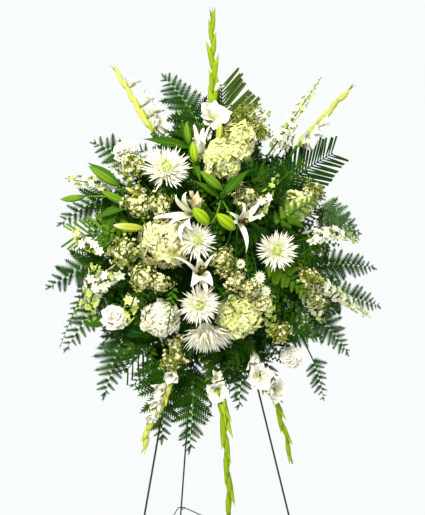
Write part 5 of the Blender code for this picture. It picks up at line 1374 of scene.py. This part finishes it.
def frond_path(begin, tip, lift=0.12):
    """The rib of a frond, which arches up and then hangs at its tip."""
    reach = (tip - begin).length
    stride = (tip - begin).normalized() * reach * 0.33
    rise = heading(0, 0.6, 0.8) * reach * lift
    return bezier(begin, begin + stride + rise, tip - stride + rise * 0.8, tip, RIB_STEPS)


BRANCH = prototype("fern_branch", side_branch(8, 0.30, 0.060, 0.66))
CLOSE_BRANCH = prototype("close_fern_branch", side_branch(6, 0.30, 0.080, 0.72))
FERNS = {
    "fern_upper_left": [((-30, 90, 140), (-131, 250, 105), 86), ((-220, 30, 125), (-302, 78, 110), 62)],
    "fern_left": [((-250, -40, 120), (-385, -120, 110), 64), ((-270, -200, 130), (-410, -270, 100), 70)],
    "fern_low_left": [((-270, -270, 150), (-372, -420, 120), 60), ((-230, -360, 150), (-280, -530, 125),
        72), ((-327, -270, 150), (-384, -412, 120), 20)],
    "fern_low": [((-140, -440, 150), (-143, -640, 140), 96), ((-65, -480, 140), (-75, -668, 145), 84),
        ((60, -430, 145), (50, -570, 145), 64)],
    "fern_low_right": [((250, -460, 140), (285, -565, 125), 44), ((240, -330, 145), (358, -450, 115),
        70)],
    "fern_right": [((250, -220, 140), (440, -225, 105), 70), ((250, -290, 135), (465, -330, 90), 66)],
    "fern_upper_right": [((130, -20, 200), (215, 45, 180), 56), ((250, -90, 160), (385, -135, 130), 66)],
}


def fern(name, fronds, seed):
    """A bunch of fronds on one forked stem."""
    chance = random.Random(seed)
    paths = [frond_path(mark(begin), mark(tip)) for begin, tip, _ in fronds]
    parts = forked_stem(name, paths, 0.0019, 5, 0.3)
    places = []
    for path, (_, _, width) in zip(paths, fronds):
        parts.append((tube(path, taper(0.0016, 0.0011, len(path)), 5), "young fern leaflet", 0.2))
        places += frond_places(path, heading(0, 0.1, 1), width / 1000 * 1.15, chance, spacing=0.0155,
                               narrowing=0.76, sweep=0.45)
    grow(name, "_fronds", parts, [(BRANCH, places, "fern leaflet", 0.10, 0.16)], seed)


grow_each(FERNS, fern, 91)

# %% [markdown]
# ## Palm leaves
# The palm leaflets are long straps, and the florist has trimmed them off straight, so one strap with a
# square end is set in pairs along each rib. Each row gives where a leaf begins, its tip, the length of
# its straps, their number of pairs, how broad they are, how long those on the left are beside the
# others, and the finish.

# %% Palms
STRAP = prototype("palm_leaflet", blade([0.020, 0.034, 0.042, 0.045, 0.045, 0.045, 0.044], cup=0.5,
                                        curl=-0.12, thick=0.006))
PALMS = {
    "palm_top": [((10, 100, 130), (18, 240, 100), 145, 14, 0.74, 0.4, "olive palm leaflet")],
    "palm_right": [((165, -20, 140), (322, 78, 100), 112, 17, 0.8, 1, "palm leaflet")],
    "palm_left": [((-225, -150, 160), (-352, -145, 140), 80, 9, 1.2, 1, "young fern leaflet"),
        ((-165, -390, 160), (-232, -475, 130), 74, 6, 1, 1, "palm leaflet")],
}


def palm(name, leaves, seed):
    """Palm leaves on one stem."""
    paths = [frond_path(mark(leaf[0]), mark(leaf[1]), 0.06) for leaf in leaves]
    parts = forked_stem(name, paths, 0.0026, 6, 0.5)
    straps = {leaf[-1]: [] for leaf in leaves}
    face = heading(0, 0.1, 1)
    for path, (_, _, width, pairs, broad, left, finish) in zip(paths, leaves):
        parts.append((tube(path, taper(0.0024, 0.0014, len(path))), "palm leaflet", 0.6))
        for index in range(pairs):
            share = (index + 0.3) / pairs
            foot, way = on_path(path, share)
            side = way.cross(face).normalized()
            size = width / 1000 * (1 - 0.45 * share)
            for sign in (-1, 1):
                lean = side * sign + way * (1.0 + 0.4 * share) - face * 0.15
                straps[finish].append((foot, lean, face + side * sign * 0.35,
                                       (size * broad, size * (left if sign < 0 else 1), size)))
    grow(name, "_leaves", parts, [(STRAP, rows, finish, 0.06, 0.06) for finish, rows in straps.items()],
         seed)


grow_each(PALMS, palm, 101)

# %% [markdown]
# ## Broad leaves
# One woody branch carries broad pointed leaves with a wavy edge. The leaf is one blade, aimed from
# the top of the branch at the tips that show between the flowers.

# %% Broad leaves
BROAD_LEAF = prototype("broad_leaf", blade([0.03, 0.15, 0.22, 0.245, 0.225, 0.17, 0.09, 0], cup=0.18,
                                           curl=-0.45, thick=0.010, across=5, ruffle=0.012, waves=1.5))
BROAD = {
    "broad_leaf_branch": ((150, -230, 170), [(205, -150, 160), (120, -290, 190), (215, -290, 165),
        (160, -140, 185)]),
}


def broad_branch(name, top, tips, seed):
    """A woody stem with broad pointed leaves."""
    top = mark(top)
    leaves = [leaf_to(top, mark(tip), heading(0, 0.2, 1)) for tip in tips]
    grow(name, "_leaves", [stalk(name, top, heading(0.3, 0, 1), 0.0024)],
         [(BROAD_LEAF, leaves, "broad leaf", 0.05, 0.08)], seed)


grow_each(BROAD, broad_branch, 111)

# %% [markdown]
# ## The green ground
# Behind the flowers a florist first fills the foam with greenery until it can't be seen. These
# fronds and leaves are too many for the plain model, so they are grown here. They are set in layers:
# long ones at the back that make the outline, shorter ones further forward, and broad dark leaves
# close to the foam. Nothing goes behind the front legs, where the rear leg folds. The outline is how
# far the greenery reaches, in metres, at each angle in radians.

# %% Filling greenery
CENTRE_RIGHT, CENTRE_UP = -0.015, -0.165
CLEAR_OF_LEGS = 0.022
GROUND_ROOTS, FRONT_ROOTS = 0.060, 0.070
GOLDEN_TURN = 2.39996
OUTLINE = [(0, 0.36), (0.3, 0.33), (0.62, 0.36), (0.95, 0.33), (1.25, 0.36), (1.5, 0.4), (1.8, 0.39),
    (2.15, 0.34), (2.5, 0.34), (2.85, 0.33), (3.14, 0.36), (3.45, 0.37), (3.8, 0.38), (4.15, 0.42),
    (4.45, 0.45), (4.75, 0.44), (5.1, 0.41), (5.4, 0.43), (5.7, 0.42), (6, 0.4), (6.29, 0.36)]


def outline_at(angle):
    """How far the greenery reaches in this direction."""
    return float(np.interp(angle % (2 * math.pi), [a for a, _ in OUTLINE], [r for _, r in OUTLINE]))


def off_centre(angle, far, high=None):
    """Right and up of a place at this distance from the middle, perhaps another one upwards."""
    high = far if high is None else high
    return CENTRE_RIGHT + far * math.cos(angle), CENTRE_UP + high * math.sin(angle)


def in_front(right, up, forward):
    """The same place, but never behind the front legs."""
    return spot(right, up, max(forward, CLEAR_OF_LEGS + LEG_SLOPE * max(0.0, -up)))


def ground_layer(name, count, start, reach, depths, width, seed, finish="fern leaflet", shape=BRANCH):
    """One layer of fronds fanned round the foam."""
    chance = random.Random(seed)
    parts, places = [], []
    for index in range(count):
        angle = 2 * math.pi * (index + chance.uniform(-0.3, 0.3)) / count
        far = outline_at(angle) * reach * chance.uniform(0.88, 1.02)
        near = start * chance.uniform(0.8, 1.2)
        bend = angle + chance.uniform(-0.25, 0.25)
        begin = in_front(*off_centre(bend, near * 0.8, near * 1.2), depths[0])
        tip = in_front(*off_centre(angle, far), depths[1] + chance.uniform(-0.02, 0.02))
        path = frond_path(begin, tip, chance.uniform(0.05, 0.16))
        root = in_front(*off_centre(bend, near * 0.3, near * 0.5), GROUND_ROOTS)
        parts.append(stem([root] + path, [0.0018] + taper(0.0016, 0.0010, len(path)), 4, 0.3))
        face = heading(0, 0.1, 1) + heading(math.cos(angle), math.sin(angle), 0) * chance.uniform(-0.1, 0.4)
        face = (face + shake(chance, 0.25)).normalized()
        places += frond_places(path, face, width * chance.uniform(0.85, 1.15), chance, spacing=0.0195,
                               narrowing=0.74, sweep=0.45)
    grow(name, "", parts, [(shape, places, finish, 0.10, 0.16)], seed)


def scattered(count, reach, start=0.0):
    """Evenly scattered places inside the outline: each one's angle, share of the way, and distance."""
    for index in range(count):
        angle, share = index * GOLDEN_TURN + start, math.sqrt((index + 0.5) / count)
        yield angle, share, outline_at(angle) * reach * share


def ground_leaves(name, count, seed):
    """Broad dark leaves close round the foam."""
    chance = random.Random(seed)
    leaves, parts = [], []
    for angle, share, far in scattered(count, 0.66):
        foot = in_front(*off_centre(angle, far), 0.150 - 0.085 * share + chance.uniform(-0.02, 0.02))
        way = heading(math.cos(angle), math.sin(angle), 0.35) + shake(chance, 0.5)
        root = in_front(*off_centre(angle, far * 0.4, far * 0.5), GROUND_ROOTS)
        parts.append(stem([root, foot], 0.0012, 4, 0.4))
        for turn in (-1, 0, 1):
            fork = way + way.cross(heading(0, 0, 1)) * turn * 0.8
            fork += FOAM_OUT * max(0.0, 0.45 - fork.dot(FOAM_OUT))
            face = heading(0, 0.1, 1) + shake(chance, 0.4)
            leaves.append((foot, fork, face, chance.uniform(0.050, 0.075)))
    grow(name, "", parts, [(BROAD_LEAF, leaves, "broad leaf", 0.15, 0.2)], seed)


ground_layer("ground_fern_back", 40, 0.10, 0.93, (0.060, 0.085), 0.072, 121)
# The rear middle and inner layers take the darker copy of the fern leaflet, as painted shade under the
# flowers.
ground_layer("ground_fern_rear_middle", 40, 0.10, 0.84, (0.070, 0.110), 0.076, 126, "deep fern leaflet",
             CLOSE_BRANCH)
ground_layer("ground_fern_middle", 34, 0.09, 0.78, (0.085, 0.145), 0.074, 122)
ground_layer("ground_fern_front", 30, 0.06, 0.66, (0.105, 0.195), 0.064, 123, shape=CLOSE_BRANCH)
ground_layer("ground_fern_inner", 20, 0.03, 0.44, (0.110, 0.222), 0.054, 124, "deep fern leaflet",
             CLOSE_BRANCH)
ground_leaves("ground_leaves", 70, 125)

# %% [markdown]
# ## Leaves and fronds in front
# A few single leaves and whole fronds hang before the flowers at the left, the right and the middle.
# Their stems start low in the foam and pass under the heads, so only their ends show.

# %% In front of the flowers
FRONT_LEAVES = {
    "front_leaf_1": ((-273, -342, 182), (-337, -349, 165), "lily leaf"),
    "front_leaf_2": ((-193, -376, 200), (-253, -357, 196), "broad leaf"),
}
FRONT_FRONDS = {
    "front_frond": ([((118, -118, 235), (232, -52, 232), 50), ((85, -205, 255), (205, -300, 235), 56),
        ((-225, -120, 200), (-335, -185, 180), 44)], "young fern leaflet", 135),
    "dark_front_frond": ([((112, -45, 240), (6, 36, 268), 46), ((60, -395, 200), (0, -470, 190), 50),
        ((-40, -268, 290), (-2, -322, 300), 26), ((82, -125, 238), (14, -188, 262), 44),
        ((145, -385, 190), (262, -400, 165), 60), ((-190, -400, 180), (-270, -455, 160), 50)],
        "fern leaflet", 137),
    "blue_frond": ([((255, -75, 190), (362, -150, 170), 56)], "blue green leaflet", 138),
    "hanging_sprig": ([((-145, -265, 292), (-158, -368, 284), 22)], "young fern leaflet", 136),
}


def front_root(right, up):
    """Where the stem of something in front leaves the foam."""
    return in_front(right * 0.5, up * 0.6 - 0.06, FRONT_ROOTS)


def front_leaf(name, foot, tip, finish, seed):
    """One broad leaf on its stem."""
    root, foot, tip = front_root(foot[0] / 1000, foot[1] / 1000), mark(foot), mark(tip)
    path = [root, root.lerp(foot, 0.6) - FOAM_OUT * 0.02, foot]
    leaves = [leaf_to(foot, tip, heading(0, 0.3, 1))]
    grow(name, "", [stem(path, 0.0014, 5, 0.4)], [(BROAD_LEAF, leaves, finish, 0.05, 0.05)],
         seed)


def front_fronds(name, rows, finish, seed):
    """Whole fronds that hang in front of the others."""
    chance = random.Random(seed)
    parts, places = [], []
    for begin, tip, width in rows:
        path = frond_path(mark(begin), mark(tip))
        right, up, forward = (value / 1000 for value in begin)
        root, inside = front_root(right, up), in_front(right * 0.85, up, 0.5 * forward)
        parts.append(stem(bezier(root, root.lerp(inside, 0.6), inside, path[0]) + path[1:], 0.0012, 4, 0.4))
        places += frond_places(path, heading(-0.2, 0.1, 1), width / 1000, chance, spacing=0.0150,
                               narrowing=0.72, sweep=0.55)
    grow(name, "", parts, [(BRANCH, places, finish, 0.10, 0.15)], seed)


grow_each(FRONT_LEAVES, front_leaf, 112)
for name, row in FRONT_FRONDS.items():
    front_fronds(name, *row)

# %% [markdown]
# ## Sprigs between the flowers
# Short sprigs of green fill the gaps between the heads. They are scattered evenly, and one that would
# come before a flower head is left out. So the script first lists where every head is.

# %% Sprigs
LILY_REACH = 42
HEADS = [(row[0], row[2]) for table in (MUMS, HYDRANGEAS, CARNATIONS) for row in table.values()]
HEADS += [(row[0], LILY_REACH) for row in LILIES.values()]
HEADS += [(row[0], row[2]) for row in DAISIES["daisies"]]
HEADS += [(row[0], row[1] * 0.8) for clusters in FILLERS.values() for row in clusters]
HEAD_MARGIN = 0.004
LEAFLET = prototype("small_leaf", blade([0.05, 0.26, 0.34, 0.28, 0.12, 0], cup=0.25, curl=-0.4, thick=0.02))


def free_of_heads(right, up):
    """Whether a place in the front view lies beside every flower head."""
    return all(math.hypot(right - place[0] / 1000, up - place[1] / 1000) > radius / 1000 + HEAD_MARGIN
               for place, radius in HEADS)


def sprigs(name, count, start, finish, depth, seed, shape, spacing, width, long):
    """Short sprigs that fill the gaps between the flowers from the front."""
    chance = random.Random(seed)
    parts, places = [], []
    for angle, share, far in scattered(count, 0.80, start):
        right, up = off_centre(angle, far)
        if not free_of_heads(right, up):
            continue
        forward = depth * (1 - 0.55 * share ** 2)
        lean = angle + chance.uniform(-0.9, 0.9)
        reach = long * chance.uniform(0.7, 1.15)
        begin, tip = (in_front(right + part * reach * math.cos(lean), up + part * reach * math.sin(lean),
                               forward + step) for part, step in ((-0.35, -0.03), (0.65, 0.012)))
        path = frond_path(begin, tip, chance.uniform(0.05, 0.2))
        root = in_front(*off_centre(angle, far * 0.35, far * 0.55), FRONT_ROOTS)
        parts.append(stem([root, begin.lerp(root, 0.4) + FOAM_OUT * 0.01] + path[::2], 0.0010, 4, 0.4))
        face = (heading(0, 0.2, 1) + shake(chance, 0.4)).normalized()
        places += frond_places(path, face, width * chance.uniform(0.8, 1.2), chance, spacing,
                               narrowing=0.60, sweep=0.55)
    grow(name, "", parts, [(shape, places, finish, 0.15, 0.25)], seed)


sprigs("sprig_bright", 46, 0.3, "young fern leaflet", 0.262, 131, CLOSE_BRANCH, 0.0140, 0.036, 0.090)
sprigs("sprig_dark", 80, 1.1, "fern leaflet", 0.250, 132, CLOSE_BRANCH, 0.0145, 0.040, 0.100)
sprigs("sprig_leafy", 80, 2.2, "lily leaf", 0.255, 133, LEAFLET, 0.0150, 0.020, 0.080)
sprigs("sprig_blue", 50, 0.7, "blue green leaflet", 0.230, 134, LEAFLET, 0.0110, 0.016, 0.090)

# %% [markdown]
# ## The end
# The shapes that were repeated are no longer needed, so they are removed, and the number of pieces
# and triangles is printed.

# %% Clear away the helpers and count the triangles
for helper in PROTOTYPES:
    bpy.data.objects.remove(helper)
print(len(COUNTS), "pieces with", sum(COUNTS), "triangles")
